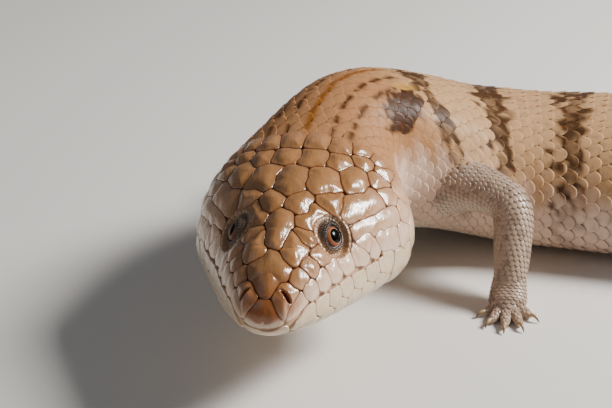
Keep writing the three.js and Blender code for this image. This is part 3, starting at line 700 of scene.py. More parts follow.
def inside_border(k, points, s, across):
    """How far points are inside shield k's border, in millimetres. Against each other shield it is the way to
    the plane midway between the nearest seeds. The least of all the ways is taken softly, so that corners are
    round: minus CORNER times the log of the sum of exp(-way / CORNER)."""
    name = shields[k][0]
    groove = LIP_GROOVE if name in (*LOWER_SHIELDS, "labial_upper") else TOP_GROOVE
    moved = points + WANDER * np.stack([ripple(s, across, 5, seed) for seed in (21, 22, 23)], 1)
    own = ((moved[:, None] - seed_points[k][None]) ** 2).sum(2)
    mine, nearest = own.min(1), seed_points[k][own.argmin(1)]
    ways = []
    for j, theirs in enumerate(seed_points):
        if j != k:
            apart = np.linalg.norm(theirs[None] - nearest[:, None], axis=2)
            further = ((moved[:, None] - theirs[None]) ** 2).sum(2) - mine[:, None]
            ways.append((further / (2 * apart)).min(1) - groove / 2)
    ways.append(np.linalg.norm(points[:, None] - eye_points[None], axis=2).min(1) - EYE_CLEAR)
    ways.append(np.linalg.norm(points[:, None] - ear_points[None], axis=2).min(1) - EAR_CLEAR)
    if name != "rostral":
        ways.append(coat_starts(np.abs(across) / body.half(s)) - s)
    if name in REAR_ROUND:
        ways.append(REAR_ROUND[name] - np.linalg.norm(points - seed_points[k].mean(0), axis=1))
    over_mouth = points[:, 2] - MOUTH_HEIGHT - mouth(s)
    if name in LOWER_SHIELDS:
        ways.append(np.where(s < MOUTH[-1][0], -over_mouth - MOUTH_GROOVE / 2, 9))
    elif points[:, 2].mean() < MOUTH_HEIGHT + NEAR_MOUTH:
        ways.append(np.where(s < MOUTH[-1][0], over_mouth - MOUTH_GROOVE / 2, 9))
    ways = np.array(ways)
    least = ways.min(0)
    return least - CORNER * np.log(np.exp(-(ways - least) / CORNER).sum(0))


def over_tip(way, turn):
    """The snout's tip as a polar surface: way is the distance from its middle, turn the angle round it."""
    ring_radius, slope = 1.4, 0.5
    s = np.maximum(way - ring_radius, 0) * slope
    across = turn / np.pi * body.half(s)
    points, normals = body.at(s, across)
    share = np.clip(way / ring_radius, 0, 1)[..., None]
    normals = unit(normals * share + np.array([0, -1, 0.1]) * (1.001 - share))
    return np.where(share < 1, _tip + (points - _tip) * share, points), normals, s, across


SHIELD_SIDES = 72
# Shares of the way out to the border; the nasal ones are closer round the nostril.
SHIELD_RINGS = np.array([0.0, 0.2, 0.38, 0.54, 0.67, 0.78, 0.86, 0.92, 0.965, 1.0])
NASAL_RINGS = np.array([0.0, 0.05, 0.1, 0.15, 0.2, 0.25, 0.3, 0.36, 0.44, 0.54, 0.66, 0.78, 0.88, 0.95, 1.0])


def shield_grid(k):
    """One shield: rings round its middle out to its border, each as a share of the way there. Its height over
    the skin is a quarter round at the rim, up to SHIELD_RISE, then a pillow of up to SHIELD_CROWN more by 1 minus
    a bell curve, and a little noise. The group sets how much of both it has, from the crown's 1 down to 0.14 at
    jaw, chin and snout tip, and all but the tip's are lower towards the first small scales."""
    name, side, seeds = shields[k]
    s0, a0 = np.mean(seeds, 0)
    if name == "nasal":
        s0, a0 = NOSTRIL_S, across_at_height(NOSTRIL_S, NOSTRIL_UP, side)
    turn = np.linspace(-np.pi, np.pi, SHIELD_SIDES, endpoint=False)
    reach = SHIELD_REACH + 2 * (len(seeds) - 1)

    def place(way):
        """Points so far from the middle, one row for each turn, with normals, s and the way round."""
        if name == "rostral":
            return over_tip(way, turn[:, None] + 0 * way)
        step = body.at(np.array([s0 - 0.2, s0 + 0.2]), np.array([a0, a0]))[0]
        s = s0 + way * np.cos(turn)[:, None] / (np.linalg.norm(step[1] - step[0]) / 0.4)
        across = a0 + way * np.sin(turn)[:, None]
        s = np.maximum(s, 0.0)
        return *body.at(s, across), s, across

    walk = np.linspace(0, reach, 100)[None] + np.zeros((SHIELD_SIDES, 1))
    points, _, s, across = place(walk)
    inside = inside_border(k, points.reshape(-1, 3), s.ravel(), across.ravel()).reshape(walk.shape)
    out = (inside < 0).argmax(1)
    out = np.maximum(np.where((inside < 0).any(1), out, walk.shape[1] - 1), 1)
    i = np.arange(SHIELD_SIDES)
    before, after = inside[i, out - 1], inside[i, out]
    share = np.where(after < 0, before / np.maximum(before - after, 1e-6), 1)
    radius = walk[i, out - 1] + (walk[i, out] - walk[i, out - 1]) * share
    radius = np.maximum(radius, 0.3)
    rings = NASAL_RINGS if name == "nasal" else SHIELD_RINGS
    points, normals, s, across = place(radius[:, None] * rings[None])
    depth = inside_border(k, points.reshape(-1, 3), s.ravel(), across.ravel()).reshape(s.shape)
    rim = radius[:, None] * (1 - rings)[None]
    depth = np.clip(np.minimum(depth, rim * 1.6), 0, None)
    edge = np.clip(depth / 0.3, 0, 1)
    flat = 1 if name in TOP_SHIELDS else 0.5 if name in SIDE_SHIELDS else 0.3 if name == "labial_upper" else 0.14
    height = SHIELD_RISE * (0.2 + 0.8 * flat) * np.sqrt(edge * (2 - edge))
    height += flat * SHIELD_CROWN * (1 - np.exp(-(depth / 1.6) ** 2))
    if name != "rostral":
        height *= 0.4 + 0.6 * smooth((coat_starts(np.abs(across) / body.half(s)) - s) / 6)
    height += 0.05 * ripple(s, across, 2.6, 31) * smooth(depth)
    return points, normals, s, across, depth, height


NOSTRIL_SIZE, NOSTRIL_DEPTH = (0.5, 1.15), 1.21  # half its width and height
NOSTRIL_LEAN = np.array([0.45, 0.89, 0])  # the way along the left nostril that its width is counted in
CROWN, TEMPLE, CHEEK, LIP, JAW, SNOUT = (linear(c) for c in (
    "#94683f", "#b18661", "#cfac8e", "#d9bba2", "#cfb899", "#8c5226"))
SHADES = {"interparietal": 0.8, "frontonasal": 0.88, "supraocular_second": 0.92, "parietal": 1.04,
          "prefrontal": 1.06, "supraocular_first": 0.96}  # how light these are next to the others


def shield_colour(name, s, across, over, depth, tone):
    """A shield's colour: brown on the crown, pale pink from the eye down to the lip, cream on the jaw, and rusty at
    the snout's tip, each passing into the next. It passes into the body's colour at the nape, and into a seam
    colour towards the border: a thin line of the groove's own dark brown, and on the crown a broad painted shade
    where the shield slopes down into the shaded groove."""
    def between(colour, other, weight):
        """The colour passing into the other by each point's weight."""
        return blend(colour, other, weight[..., None])
    share = np.abs(across) / body.half(s)
    wobble = 0.03 * ripple(s, across, 6, 33)
    colour = between(CROWN + 0 * share[..., None], TEMPLE, smooth((share + wobble - 0.2) / 0.14))
    colour = between(colour, CHEEK, smooth((share + wobble - 0.3) / 0.12))
    colour = between(colour, LIP, smooth((6 - over) / 5))
    colour = between(colour, JAW, smooth((0.6 - over) / 2.4))
    rusty = smooth((9.5 - s) / 8) * (1 if name == "rostral" else 0.75)
    colour = between(colour, SNOUT, rusty * smooth((over + 0.4) / 1.6) * smooth((0.52 - share) / 0.16))
    colour = between(colour, markings(s, across), smooth((s - 46) / 13))
    colour = colour * (SHADES.get(name, 1) * (1 + 0.05 * tone))
    top = smooth((0.42 - share) / 0.14)
    depth = np.maximum(depth, 0)
    # The first term is the groove's own thin dark line; the second is painted shade, a broad darkening of the crown's
    # shield slopes towards the grooves.
    line = np.exp(-depth / 0.12) * (0.12 + 0.6 * top) + np.exp(-depth / 0.8) * 0.22 * top
    return between(colour, SEAM, np.minimum(line, 1))


_made = []
rng = np.random.default_rng(11)
for k, (name, side, seeds) in enumerate(shields):
    points, normals, s, across, depth, height = shield_grid(k)
    tone = rng.uniform(-1, 1)
    colour = shield_colour(name, s, across, points[..., 2] - MOUTH_HEIGHT - mouth(s), depth, tone)
    if name == "nasal":
        away = points - nostrils_at[0 if side > 0 else 1][0]
        along = away @ (NOSTRIL_LEAN * [side, 1, 1])
        oval = np.hypot(along / NOSTRIL_SIZE[0], away[..., 2] / NOSTRIL_SIZE[1])
        pit = smooth((1.25 - oval) / 0.5)
        height = (height + 0.14 * np.exp(-((oval - 1.6) / 0.5) ** 2)) * (1 - pit) - pit * NOSTRIL_DEPTH
        # The pit is coloured dark red: the nostril's own red lining, darkened by painted shade of the pit's depth.
        colour = blend(colour, linear("#5a160a"), pit[..., None])
    top = points + normals * height[..., None]
    root = points[:, -1] - normals[:, -1] * SHIELD_ROOT
    rings = np.concatenate([top[:, 1:].transpose(1, 0, 2), root[None]])
    points, quads, triangles = closed_tube(rings, top[0, 0], root.mean(0) - normals[0, 0] * 0.3)

    def spread(grid):
        """A grid's values in the order of the shield's points, with the rim's again for the root."""
        ringed = np.concatenate([grid[:, 1:].swapaxes(0, 1), grid[None, :, -1]]).reshape(-1, *grid.shape[2:])
        return np.concatenate([ringed, grid[:1, 0], grid[:1, -1]])
    lie = np.stack([spread(s), spread(across), 0 * spread(s) + tone * 9], 1)
    uv = np.stack([0.02 + 0.96 * np.clip(lie[:, 0] / 64, 0, 1), 0.5 + 0.48 * np.clip(lie[:, 1] / 80, -1, 1)], 1)
    if name == "rostral":
        uv = 0.05 + 0.01 * (points[:, [0, 2]] - points[:, [0, 2]].mean(0))
    _made.append((points, quads[:, ::-1], triangles[:, ::-1], np.c_[spread(colour), np.ones(len(points))], lie, uv))
*_faces, _colour, _lie, _uv = as_one(_made)
head_shields = add_mesh("head_shields", *_faces, dict(colour=_colour, lie=_lie), _uv)
# Thick horn, rubbed smooth as it grows and wet-looking, so it throws sharp highlights with fine striae in them.
head_shields.data.materials.append(horn("glossy_head_shields", 0.22, 0.1, 2.2, 0.07, 0.6, 0.16, 0.3))
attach(head_shields, "root")

# The eyes and their lids
# A dark rust-brown iris round a black pupil, under a clear wet cornea, in scaly lids of dark, finely wrinkled skin
# that thicken to a ring of small pale beads. The eyeball sits deep in its socket and the lids close over its rim.
EYE_RADIUS, EYE_SUNK, EYE_TILT = 4.1, 3.3, 0.3
EYE_ASIDE = 0.4  # how much more it looks to the side than the skin round it
CORNEA = 0.35  # how far it bulges
PUPIL, IRIS, RAMP_REACH = 1.7, 2.75, 4.0  # radii; the last is where the ramp of colours ends
LID_OPENING = (2.75, 2.2)  # half its length and height
LID_THICKNESS, LID_REACH = 0.55, 6.1
LID_ROWS, LID_TURNS = 56, 336
BROW = (5.15, 0.62)  # radius and half the width of the ring of beads

lids, eyeballs = [], []
for side, (at, out) in zip((1, -1), eyes_at):
    out = unit(out + np.array([EYE_ASIDE * side, 0, 0]))
    along = np.array([0, np.cos(EYE_TILT), np.sin(EYE_TILT)])
    along = unit(along - out * (along @ out))
    upward = unit(UP - out * (UP @ out) - along * (UP @ along))
    middle = at - out * EYE_SUNK

    polar = np.concatenate([np.linspace(0.02, 0.9, 40), np.linspace(0.95, 3.1, 24)])[:, None]
    turn = np.linspace(0, 2 * np.pi, 96, endpoint=False)[None]
    radius = EYE_RADIUS + CORNEA * smooth((0.8 - polar) / 0.6)
    ring = np.cos(turn)[..., None] * along + np.sin(turn)[..., None] * upward
    grid = middle + (radius * np.sin(polar))[..., None] * ring + (radius * np.cos(polar))[..., None] * out
    points, quads, triangles = closed_tube(grid, middle + out * (EYE_RADIUS + CORNEA), middle - out * EYE_RADIUS)
    if side < 0:
        quads, triangles = quads[:, ::-1], triangles[:, ::-1]
    gaze = (EYE_RADIUS * np.sin(np.minimum(polar, 1.5)) + 0 * turn).ravel()
    round_it = (turn + 0 * polar).ravel()
    look = np.stack([gaze * np.cos(round_it), gaze * np.sin(round_it), gaze], 1)
    look = np.concatenate([look, [[0, 0, 0], [0, 0, EYE_RADIUS]]])
    eyeballs.append((points, quads, triangles, look))

    turn = np.linspace(0, 2 * np.pi, LID_TURNS, endpoint=False)[None]
    opening = 1 / np.hypot(np.cos(turn) / LID_OPENING[0], np.sin(turn) / LID_OPENING[1])
    way = np.linspace(0, 1, LID_ROWS)[:, None] ** 0.9
    r = opening + (LID_REACH - opening) * way
    ring = np.cos(turn)[..., None] * along + np.sin(turn)[..., None] * upward
    lid_ball = EYE_RADIUS + LID_THICKNESS * smooth((r - opening) / 0.5) * (1 + 0.2 * np.sin(turn))
    on_ball = -EYE_SUNK + np.sqrt(np.maximum(lid_ball ** 2 - r ** 2, 0.3))
    flat = at + r[..., None] * ring
    eye_across = across_at_height(EYE_S, EYE_UP, side)
    before, behind = body.at(np.array([EYE_S - 0.5, EYE_S + 0.5]), np.array([1, 1]) * eye_across)[0]
    s_way = unit(behind - before)
    a_way = np.cross(out, s_way)
    a_way = a_way * np.sign((body.at(EYE_S, eye_across + 0.5)[0] - at) @ a_way)
    s = EYE_S + (flat - at) @ s_way
    across = eye_across + (flat - at) @ a_way
    on_skin, normal = body.at(s, across)
    to_skin = smooth((r - 3.6) / 1.5)[..., None]
    base = blend(flat + out * on_ball[..., None], on_skin, to_skin)
    normal = unit(blend(out, normal, to_skin))
    folds = 0.07 * np.cos((r - opening) / 0.42 * 2 * np.pi) * smooth((r - opening) / 0.4)
    row = (r - opening) / 0.7
    beads = np.abs(np.cos(turn * 15 + np.floor(row) * np.pi / 2)) ** 0.5 * np.abs(np.sin(row * np.pi)) ** 0.5
    crease = -0.35 * np.exp(-((r - 4.15) / 0.35) ** 2)
    rimmed = smooth((r - 4.3) / 0.5)
    brow = np.abs(np.cos(turn * 13)) ** 0.6 * np.sqrt(np.clip(1 - ((r - BROW[0]) / BROW[1]) ** 2, 0, 1))
    lift = (folds * (1 - rimmed) + 0.32 * beads * smooth((r - opening - 0.35) / 0.4) * (1 - rimmed) + crease
            + rimmed * (0.3 * brow * (0.75 + 0.25 * np.sin(turn * 5)) - 0.12) - 0.9 * smooth((r - 5.7) / 0.35))
    grid = base + normal * lift[..., None]
    rim_in = middle + unit(grid[0] - middle) * (EYE_RADIUS - 0.35)
    under = grid[-1] - normal[-1] * 1.2
    inner = middle + unit(grid[LID_ROWS // 2] - middle) * (EYE_RADIUS - 0.5)
    rings = np.concatenate([rim_in[None], grid, under[None], inner[None]])
    rows = np.arange(len(rings) * LID_TURNS).reshape(len(rings), -1)
    quads = np.concatenate([rows_of_faces(len(rings), LID_TURNS),
                            np.stack([rows[-1], np.roll(rows[-1], -1), np.roll(rows[0], -1), rows[0]], 1)])
    if side > 0:
        quads = quads[:, ::-1]
    none = 0 * opening
    wide = np.concatenate([none, r - opening, none + 3, none + 3]).ravel()
    darker = np.tile(smooth(0.2 + 0.8 * np.cos(turn.ravel() - 1.1)), len(rings)) * 0.9
    to_grey, to_pale = (smooth(x)[:, None] for x in ((wide - 0.1 - darker * 0.5) / 0.6, (wide - 0.75 - darker) / 0.8))
    colour = blend(blend(linear("#140f0c"), linear("#4d3d31"), to_grey), linear("#b28a66"), to_pale)
    raised = beads * 0.5 * (1 - rimmed) + brow * rimmed * (0.42 + 0.16 * np.sin(turn * 3 + 1))
    colour = colour * (0.55 + 0.9 * np.concatenate([none, raised, none, none]).ravel()[:, None])
    lids.append((rings.reshape(-1, 3), quads, np.c_[colour, np.ones(len(colour))],
                 np.c_[wide, np.tile(turn.ravel() * 4, len(rings)), wide * 0]))

# Thin wrinkled skin with beads of horn, satin, kept moist by the eye: small soft glints along the folds.
lid_skin = horn("wrinkled_lid_skin", 0.34, 0.15, 2.0, 0.04)
for name, side, (points, quads, colour, lie) in zip(("lids_left", "lids_right"), (1, -1), lids):
    uv = np.stack([0.1 + 0.2 * lie[:, 0] / 4, 0.05 + 0.9 * lie[:, 1] / 26], 1)
    lid = add_mesh(name, points, quads, np.empty((0, 3), int), dict(colour=colour, lie=lie), uv)
    lid.data.materials.append(lid_skin)
    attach(lid, "root")

# A clear cornea under a film of tears, over an iris of fine threads: one sharp glint on a deep, still colour.
eye_gloss, tree, shader = finish("wet_eye", Roughness=0.2, Coat_Weight=0.12, Coat_Roughness=0.02, IOR=1.2)
look = node(tree, "Attribute", {"attribute_name": "look"}).outputs["Vector"]
parts = node(tree, "SeparateXYZ", i0=look)
turned = node(tree, "Math", {"operation": "ARCTAN2"}, i0=parts.outputs[1], i1=parts.outputs[0]).outputs[0]
spokes = node(tree, "CombineXYZ", i0=turned, i1=parts.outputs[2]).outputs[0]
spokes = node(tree, "Mapping", Vector=spokes, Scale=(9, 0.8, 1)).outputs[0]
threads = node(tree, "TexNoise", Vector=spokes, Scale=1.2, Detail=3.0).outputs["Fac"]
ragged = node(tree, "Math", {"operation": "MULTIPLY_ADD"}, i0=threads, i1=0.16, i2=parts.outputs[2]).outputs[0]
share = node(tree, "Math", {"operation": "DIVIDE"}, i0=ragged, i1=RAMP_REACH).outputs[0]
ramp = node(tree, "ValToRGB", Fac=share)
stops = [(0, "#020202"), (PUPIL + 0.05, "#030202"), (PUPIL + 0.12, "#b98962"), (PUPIL + 0.26, "#83482c"),
         (2.2, "#915538"), (IRIS - 0.25, "#5c2e1b"), (IRIS + 0.05, "#1c0f0a"), (RAMP_REACH, "#0d0907")]
while len(ramp.color_ramp.elements) < len(stops):
    ramp.color_ramp.elements.new(0.5)
for element, (place, hex_colour) in zip(ramp.color_ramp.elements, stops):
    element.position, element.color = place / RAMP_REACH, (*linear(hex_colour), 1)
tree.links.new(ramp.outputs[0], shader.inputs["Base Color"])
for name, (points, quads, triangles, look) in zip(("eye_left", "eye_right"), eyeballs):
    eyeball = add_mesh("ball_of_" + name, points, quads, triangles, dict(look=look))
    eyeball.data.materials.append(eye_gloss)
    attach(eyeball, "root")
    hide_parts(name)

# The scales of neck, body and tail
# Thin horny plates, smooth and glossy, that overlap backwards like roof tiles in staggered lengthwise lines, with
# the widest at midbody. Each grows out of the skin at its front and lies free at its rounded rear edge.
SPACING = [(26, 3.2), (58, 3.7), (100, 4.0), (200, 4.5), (300, 4.2), (340, 3.7), (430, 2.8), (500, 2), (520, 1.7)]
PITCH = 0.86  # from row to row, over the spacing
PLATE_LENGTH, PLATE_WIDTH = 1.75, 1.26  # over the pitch and the spacing
BODY_PLATE = (-0.58, 0.14, 0.2)  # heights of root and rear edge over the surface, and the drop of its sides
MAP_SPAN, PLATE_ON_MAP = 560, 0.003  # millimetres to the side of the map that is baked, and a plate's share of it
FINE_U, FINE_T = np.array([0, 0.25, 0.45, 0.6, 0.72, 0.83, 0.92, 1]), np.linspace(-1, 1, 11)
BODY_U, BODY_T = np.array([0, 0.3, 0.6, 0.8, 0.93, 1]), np.array([-1, -0.8, -0.4, 0, 0.4, 0.8, 1])
spacing = curve(SPACING)


def lay_plates(surface, s, across, width, length, lifts, seed):
    """Plates rooted at s and across on a surface. Along a plate its height goes from the root's lift to the
    rear's by the power 0.85 of the way and turns down at the end by its power 8, its sides drop by the power 2.2
    of the way out, and its rear edge is drawn forward there by the power 2.4. A point under the root closes each
    plate below. Gives points, faces, and for each point s, across, how near the plate's edge it is, and the place
    in the plate from -0.5 to 0.5."""
    root_lift, rear_lift, side_drop = lifts
    u, t = (grid.ravel() for grid in np.meshgrid(PLATE_U, PLATE_T, indexing="ij"))
    n, m = len(PLATE_U), len(PLATE_T)
    along = s[:, None] + length[:, None] * u * (1 - 0.34 * np.abs(t) ** 2.4)
    aside = across[:, None] + width[:, None] / 2 * t * (0.84 + 0.16 * np.sin(np.pi * u))
    height = root_lift + (rear_lift - root_lift) * u ** 0.85 - side_drop * np.abs(t) ** 2.2 - 0.08 * u ** 8
    height = height * (width[:, None] / np.median(width)) ** 0.5
    top, normal = surface.at(along, aside, height)
    under = surface.at(s + length * 0.45, across, root_lift - 0.35 + 0 * s)[0]
    points = np.concatenate([top, under[:, None]], 1)
    points[..., 2] = np.maximum(points[..., 2], 0.015)
    i = np.arange(n - 1)[:, None] * m + np.arange(m - 1)[None]
    quads = np.stack([i, i + 1, i + m + 1, i + m], -1).reshape(-1, 4)
    loop = np.concatenate([np.arange(m), np.arange(1, n) * m + m - 1, (n - 1) * m + np.arange(m - 2, -1, -1),
                           np.arange(n - 2, 0, -1) * m])
    triangles = fan(loop, n * m)[:, ::-1]
    across_up = np.cross(top[:, 1] - top[:, 0], top[:, m] - top[:, 0])
    if (across_up * normal[:, 0]).sum() < 0:
        quads, triangles = quads[:, ::-1], triangles[:, ::-1]
    first = np.arange(len(s))[:, None, None] * (n * m + 1)
    edge = np.append(np.maximum(np.abs(t) ** 3, u ** 5), 1) + 0 * s[:, None]
    rng = np.random.default_rng(seed)
    each = np.ones((1, n * m + 1))
    return dict(points=points.reshape(-1, 3), quads=(quads + first).reshape(-1, 4),
                triangles=(triangles + first).reshape(-1, 3), root_s=(s[:, None] * each).ravel(),
                root_across=(across[:, None] * each).ravel(), edge=edge.ravel(),
                tone=(rng.uniform(-1, 1, len(s))[:, None] * each).ravel(),
                s=np.c_[along, s].ravel(), across=np.c_[aside, across].ravel(),
                u=(np.append(u, 0.45) - 0.5 + 0 * s[:, None]).ravel(),
                t=(np.append(t, 0) / 2 + 0 * s[:, None]).ravel())


def lie_and_uv(plates, spread, corner):
    """What the finish of plates goes by: lie, the root's s and across plus the place in the plate times spread,
    with the plate's tone, and uv, the same place on the map that is baked, counted from a corner of its own."""
    place = (plates["root_s"], plates["u"]), (plates["root_across"], plates["t"])
    lie = [root + inside * wide for (root, inside), wide in zip(place, spread)]
    uv = [at + root / MAP_SPAN + inside * PLATE_ON_MAP for (root, inside), at in zip(place, corner)]
    return np.stack([*lie, plates["tone"]], 1), np.stack(uv, 1)


def staggered(start, end, half, step, pitch):
    """Roots in rows from start to end: lines a step apart, counted from the middle line, every second row half a
    step over, and one root on the far middle line in each row."""
    s, across, row = [], [], 0
    at = start
    while at < end:
        gap, reach = step(at), half(at)
        line = (np.arange(-60, 61) + 0.5 * (row % 2)) * gap
        line = line[np.abs(line) < reach - 0.3 * gap]
        across += [line, [reach]]
        s += [np.full(len(line) + 1, at)]
        at, row = at + gap * pitch, row + 1
    return np.concatenate(s), np.concatenate(across)


_s, _a = staggered(26, 517.5, body.half, spacing, PITCH)
_s = _s + 0.25 * np.sin(_a * 7.3 + _s)
_share = np.abs(_a) / body.half(_s)
_keep = _s > coat_starts(_share) - 2.4 - 2.6 * smooth((0.33 - _share) / 0.06)
_roots = body.at(_s, _a)[0]
for limb in limbs.values():
    away = np.linalg.norm(_roots[:, None] - limb["axis"][None, ::2], axis=2) - limb["radii"][::2]
    _keep &= away.min(1) > -1.2
for at, _ in ears_at:
    for share in (0, 0.5, 1):
        away = body.at(_s + share * PITCH * PLATE_LENGTH * spacing(_s), _a)[0] - at
        _keep &= np.hypot(away[:, 1] / (EAR_SIZE[0] + 0.5), away[:, 2] / (EAR_SIZE[1] + 0.9)) > 1
_s, _a = _s[_keep], _a[_keep]
EAR_SCALES = [(-3.4, 2.3, 0.56), (-3.7, 0.4, 0.56), (-3.7, -1.5, 0.56), (-2.4, 4, 0.56), (-0.2, 4.5, 0.6),
              (-2.8, -3.5, 0.56), (0, -4, 0.6), (1.6, 3.2, 0.8), (2.3, 1.2, 0.8), (2.4, -0.8, 0.8), (1.8, -3, 0.8)]
_lobes = np.array([(EAR_S + way, across_at_height(EAR_S, EAR_UP + up, side), size) for side in (1, -1)
                   for way, up, size in EAR_SCALES])  # each one's way behind the ear, height over it and size
_s, _a = np.concatenate([_s, _lobes[:, 0]]), np.concatenate([_a, _lobes[:, 1]])
_small = np.concatenate([np.ones(len(_s) - len(_lobes)), _lobes[:, 2]])
# Thin smooth keratin over flesh: a satin gloss that breaks into one soft highlight on each scale.
body_horn = horn("smooth_body_scales", 0.4, 0.12, 1.2, 0.03, 0.08, 0.1, 0.01)
COATS = [("scales_neck", 0, 100), ("scales_trunk_front", 100, 205), ("scales_trunk_rear", 205, 330),
         ("scales_tail", 330, 520)]
for seed, (name, start, end) in enumerate(COATS):
    PLATE_U, PLATE_T = (FINE_U, FINE_T) if name == "scales_neck" else (BODY_U, BODY_T)
    mine = (_s >= start) & (_s < end)
    s, a = _s[mine], _a[mine]
    gap = spacing(s) * _small[mine]
    plates = lay_plates(body, s, a, gap * PLATE_WIDTH, gap * PITCH * PLATE_LENGTH, BODY_PLATE, seed)
    colour = markings(plates["s"] * 0.6 + (plates["root_s"] + 2) * 0.4,
                      plates["across"] * 0.85 + plates["root_across"] * 0.15)
    share = np.abs(plates["root_across"]) / body.half(plates["s"])
    on_nape = smooth((96 - plates["root_s"]) / 20) * smooth((0.42 - share) / 0.1)
    colour = blend(colour, SEAM, (0.4 * plates["edge"] ** 2 * (0.35 + 0.65 * on_nape))[:, None])
    lie, uv = lie_and_uv(plates, (6, 4), (0.02, 0.5))
    coat = add_mesh(name, plates["points"], plates["quads"], plates["triangles"],
                    dict(colour=np.c_[colour, np.ones(len(colour))], lie=lie), uv)
    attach(coat, "root")
    coat.data.materials.append(body_horn)

# The scales of legs and toes
# Small smooth horny plates in rings round the legs, rooted in the skin, that point down to the foot and out along
# each toe.
LEG_SPACING, SOLE_SPACING, TOE_SPACING = 1.5, 1.45, 1.3
LEG_PLATE, TOE_PLATE = (-0.32, 0.02, 0.1), (-0.22, 0.02, 0.14)  # as in BODY_PLATE
# Where a plate's points lie along it (U) and across it (T).
PLATE_U, PLATE_T = np.array([0, 0.45, 0.85, 1]), np.array([-1, -0.7, 0, 0.7, 1])
# Fine thin keratin, drier than the body's: a dull gloss in many small points.
leg_horn = horn("fine_leg_scales", 0.36, 0.12, 1.5, 0.02, 0.35, 0.08, 0.08)


def limb_plates(surface, start, step, seed, corner, gap=None, tint=1.0, lifts=LEG_PLATE):
    """Plates in staggered rows over a limb, left out where the limb is still inside the body: their points,
    quads, triangles, colours, lie and places on the map that is baked."""
    s, across = staggered(start, surface.rows[-1] - step * 0.2, surface.half, lambda at: step, PITCH)
    points, normals = surface.at(s, across)
    keep = points[:, 2] > 0.25
    if gap is not None:
        row = np.interp(s, surface.rows, np.arange(len(surface.rows))).astype(int)
        column = ((across / surface.half(s) / 2 + 0.5) % 1 * surface.columns).astype(int)
        keep &= gap[row, column] > -0.6
    s, across, points, normals = s[keep], across[keep], points[keep], normals[keep]
    one = np.ones(len(s)) * step
    plates = lay_plates(surface, s, across, one * PLATE_WIDTH, one * PITCH * PLATE_LENGTH, lifts, seed)
    each = len(plates["u"]) // len(s)
    colour = (leg_markings(points, normals, s, across) * tint).repeat(each, 0)
    return [plates[key] for key in ("points", "quads", "triangles")] + [np.c_[colour, np.ones(len(colour))],
                                                                        *lie_and_uv(plates, (2, 2), corner)]


for kind, limb_names in (("fore", ("foreleg_left", "foreleg_right")), ("hind", ("hindleg_left", "hindleg_right"))):
    _made = []
    for k, name in enumerate(limb_names):
        limb = limbs[name]
        _made.append(limb_plates(limb["surface"], 4, LEG_SPACING, k, (0.1, 0.15 + 0.3 * k), limb["gap"]))
        _made.append(limb_plates(soles[name], 0.2, SOLE_SPACING, k + 2, (0.3, 0.15 + 0.3 * k), None, 1.05))
        for j, toe in enumerate(toe for toe in toes if toe["foot"] == name):
            _made.append(limb_plates(toe["surface"], 1.6, TOE_SPACING, j + 4, (0.4 + 0.06 * j, 0.15 + 0.3 * k), None,
                                     1.2, TOE_PLATE))
    *_faces, _colour, _lie, _uv = as_one(_made)
    coat = add_mesh("scales_" + kind + "legs", *_faces, dict(colour=_colour, lie=_lie), _uv)
    coat.data.materials.append(leg_horn)
    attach(coat, "root")

# The claws
# Five to a foot: short, curved cones of dark horn that grow out of the toes' tips, paler brown at the root.
CLAW_LENGTH, CLAW_RADII = 2.9, [0.62, 0.45, 0.1]
# Hard horn polished by use: amber at the root and dark at the tip, with a small clear highlight along its curve.
claw_horn, tree, shader = finish("claw_horn", Roughness=0.3, Coat_Weight=0.3)
lie = node(tree, "Attribute", {"attribute_name": "lie"}).outputs["Vector"]
along = node(tree, "SeparateXYZ", i0=lie).outputs[0]
ramp = node(tree, "ValToRGB", Fac=along)
for element, (place, hex_colour) in zip(ramp.color_ramp.elements, ((0.2, "#bd9e78"), (0.95, "#5a4029"))):
    element.position, element.color = place, (*linear(hex_colour), 1)
tree.links.new(ramp.outputs[0], shader.inputs["Base Color"])
_made = []
for toe in toes:
    tip = TOE_ROOT + toe["length"]
    joints = [toe["root"] + toe["way"] * r + UP * z for r, z in
              ((tip - 0.8, 1.35), (tip + CLAW_LENGTH * 0.45, 1.6), (tip + CLAW_LENGTH, 0.4))]
    claw = tube(joints, CLAW_RADII, 16, 14, UP)[0]
    grid = claw.points[:, :-1]
    points, quads, triangles = closed_tube(grid, grid[0].mean(0), grid[-1].mean(0) + toe["way"] * 0.06)
    share = np.concatenate([np.repeat(np.linspace(0, 1, 16), 14), [0, 1]])
    _made.append((points, quads, triangles, np.c_[share, share * 0, share * 0]))
*_faces, _lie = as_one(_made)
claws = add_mesh("claws", *_faces, dict(lie=_lie))
claws.data.materials.append(claw_horn)
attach(claws, "root")

# The floor, the light and the camera
# A plain pale floor under a soft studio light from the upper right, and a camera at the photograph's angle.
floor_mesh = bpy.data.meshes.new("floor")
floor_mesh.from_pydata([(-3, -3, 0), (3, -3, 0), (3, 3, 0), (-3, 3, 0)], [], [(0, 1, 2, 3)])
floor = bpy.data.objects.new("floor", floor_mesh)
bpy.context.scene.collection.objects.link(floor)
# Matt pale board, which gives soft contact shadows and a quiet bounce of light and nothing to look at.
pale = bpy.data.materials.new("pale_floor")
pale.use_nodes = True
_matt = pale.node_tree.nodes["Principled BSDF"].inputs
_matt["Base Color"].default_value, _matt["Roughness"].default_value = (0.72, 0.7, 0.67, 1), 0.7
floor_mesh.materials.append(pale)

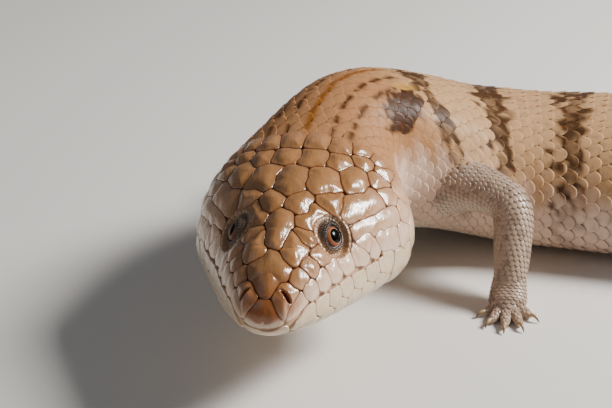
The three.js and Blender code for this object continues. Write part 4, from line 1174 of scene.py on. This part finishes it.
world = bpy.data.worlds.new("studio")
world.use_nodes = True
_sky = world.node_tree.nodes["Background"].inputs
_sky["Color"].default_value, _sky["Strength"].default_value = (0.86, 0.88, 0.92, 1), 0.16
bpy.context.scene.world = world

LOOK_AT = np.array([-0.108726, -0.092428, 0.035])
AZIMUTH, ELEVATION, ROLL = np.radians([12.5, 25.5, -2.5])
DISTANCE, SHIFT_RIGHT, SHIFT_UP = 0.3434, 0.00575, 0.0109
back_way = np.array([np.sin(AZIMUTH) * np.cos(ELEVATION), -np.cos(AZIMUTH) * np.cos(ELEVATION), np.sin(ELEVATION)])
level = np.array([np.cos(AZIMUTH), np.sin(AZIMUTH), 0])
raised = np.cross(back_way, level)
cam_right = np.cos(ROLL) * level + np.sin(ROLL) * raised
cam_up = -np.sin(ROLL) * level + np.cos(ROLL) * raised


def aimed(way_x, way_y, way_z, at):
    """A place and turn in one matrix, from its three axes and its place."""
    return Matrix([[*row] for row in np.vstack([np.column_stack([way_x, way_y, way_z, at]), [0, 0, 0, 1]])])


def area_light(name, at, size, energy, tint):
    """A soft square light at a place in metres, turned to look at LOOK_AT."""
    lamp = bpy.data.lights.new(name, "AREA")
    lamp.size, lamp.energy, lamp.color = size, energy, tint
    light = bpy.data.objects.new(name, lamp)
    away = unit(np.array(at) - LOOK_AT)
    side_way = unit(np.cross([0, 0, 1], away))
    light.matrix_world = aimed(side_way, np.cross(away, side_way), away, at)
    bpy.context.scene.collection.objects.link(light)


area_light("key", LOOK_AT + 0.75 * unit(cam_right + 0.8 * cam_up + 0.22 * back_way), 0.2, 13, (1, 0.97, 0.93))
area_light("fill", LOOK_AT + 1.2 * unit(-cam_right + 0.6 * cam_up + 0.9 * back_way), 1.0, 1.2, (0.93, 0.96, 1))

lens = bpy.data.cameras.new("camera")
lens.lens, lens.sensor_width, lens.clip_start = 85, 36, 0.01
camera = bpy.data.objects.new("camera", lens)
camera_at = LOOK_AT + back_way * DISTANCE + cam_right * SHIFT_RIGHT + cam_up * SHIFT_UP
camera.matrix_world = aimed(cam_right, cam_up, back_way, camera_at)
bpy.context.scene.collection.objects.link(camera)
bpy.context.scene.camera = camera
